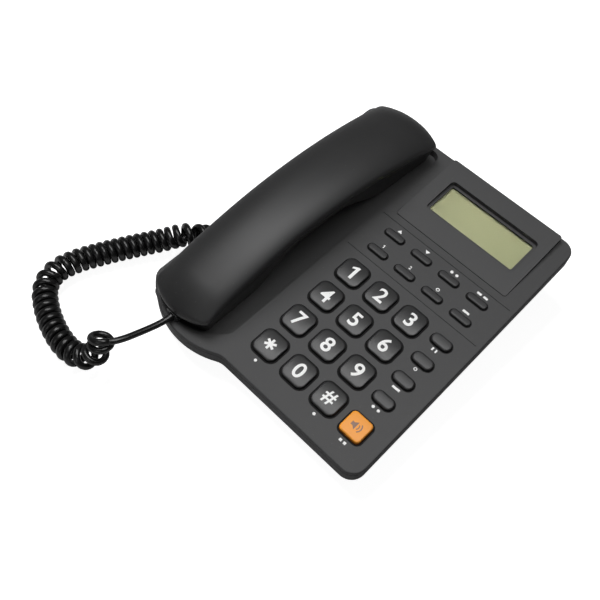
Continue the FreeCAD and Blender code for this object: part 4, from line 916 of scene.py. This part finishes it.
# Finishes of the frame's own nodes
FINISH = {
    "top_housing": DECK_PLASTIC, "bottom_cover": COVER_PLASTIC, "display_bezel": PANEL_PLASTIC,
    "display_window": WINDOW, "lcd_module": SCREEN_FACE, "keypad_membrane": SILICONE,
    "main_board": BOARD_MASK, "loudspeaker": JACK_PLASTIC, "handsfree_microphone": CAN_METAL,
    "line_jack": JACK_PLASTIC, "rubber_feet": RUBBER, "board_screws": STEEL, "housing_screws": STEEL,
    "hook_switch": JACK_PLASTIC, "hook_spring": STEEL, "hook_plunger": DECK_PLASTIC,
    "base_cord_jack": JACK_PLASTIC, "base_plug": PLUG_PLASTIC, "receiver_capsule": CAN_METAL,
    "handset_microphone": CAN_METAL, "handset_weight": STEEL, "handset_screws": STEEL,
    "handset_cord_jack": JACK_PLASTIC, "handset_plug": PLUG_PLASTIC}
for node, material in FINISH.items():
    mesh = frame["nodes"][node].data
    mesh.materials.clear()
    mesh.materials.append(material)

# Floor, light and backdrop: the floor and the backdrop are white to the camera, and dimmer as light
FLOOR_HALF = 4.0
FLOOR_TONE = 0.60
FLOOR_GLOW = 0.92
WORLD_LIGHT = 0.07


def make_floor():
    """Square floor with a glow that only the camera sees, so that it is white and keeps the shadow."""
    mesh = bpy.data.meshes.new("floor")
    corners = np.array([(-1, -1, 0), (1, -1, 0), (1, 1, 0), (-1, 1, 0)]) * FLOOR_HALF
    mesh.from_pydata(corners.tolist(), [], [(0, 1, 2, 3)])
    material = bpy.data.materials.new("pale_floor")
    material.use_nodes = True
    tree = material.node_tree
    shader = tree.nodes["Principled BSDF"]
    shader.inputs["Base Color"].default_value = (FLOOR_TONE, FLOOR_TONE, FLOOR_TONE, 1)
    shader.inputs["Roughness"].default_value = 0.9
    shader.inputs["Emission Color"].default_value = (1, 1, 1, 1)
    path = tree.nodes.new("ShaderNodeLightPath")
    glow = tree.nodes.new("ShaderNodeMath")
    glow.operation = "MULTIPLY"
    glow.inputs[1].default_value = FLOOR_GLOW
    link(tree, path.outputs["Is Camera Ray"], glow.inputs[0])
    link(tree, glow.outputs["Value"], shader.inputs["Emission Strength"])
    mesh.materials.append(material)
    floor = bpy.data.objects.new("floor", mesh)
    bpy.context.collection.objects.link(floor)


def make_world():
    """Backdrop that is white to the camera and a faint light to everything else."""
    world = bpy.data.worlds.new("studio")
    bpy.context.scene.world = world
    world.use_nodes = True
    tree = world.node_tree
    shade = tree.nodes["Background"]
    shade.inputs["Color"].default_value = (1, 1, 1, 1)
    path = tree.nodes.new("ShaderNodeLightPath")
    level = tree.nodes.new("ShaderNodeMapRange")
    level.inputs["To Min"].default_value = WORLD_LIGHT
    level.inputs["To Max"].default_value = 1.0
    link(tree, path.outputs["Is Camera Ray"], level.inputs["Value"])
    link(tree, level.outputs["Result"], shade.inputs["Strength"])


def make_lamp(name, place, side, watts):
    """Square area lamp that faces the middle of the object's foot."""
    data = bpy.data.lights.new(name, "AREA")
    data.size = side
    data.energy = watts
    lamp = bpy.data.objects.new(name, data)
    back = unit(np.array(place))
    across = unit(np.cross([0, 1, 0.01], back))
    turn = Matrix(np.array([across, np.cross(back, across), back]).T.tolist()).to_4x4()
    lamp.matrix_world = Matrix.Translation(place) @ turn
    bpy.context.collection.objects.link(lamp)
    return lamp


make_floor()
make_world()
make_lamp("left_softbox", (-0.62, 0.10, 1.05), 0.6, 14).visible_glossy = False
make_lamp("front_fill", (0.25, -0.95, 0.55), 0.5, 0.8)
make_lamp("handset_card", (0.16, 0.05, 1.0), 0.55, 5.2).visible_diffuse = False
make_lamp("key_card", (-0.36, -0.03, 1.1), 0.35, 3).visible_diffuse = False
bpy.context.scene.view_settings.view_transform = "Standard"
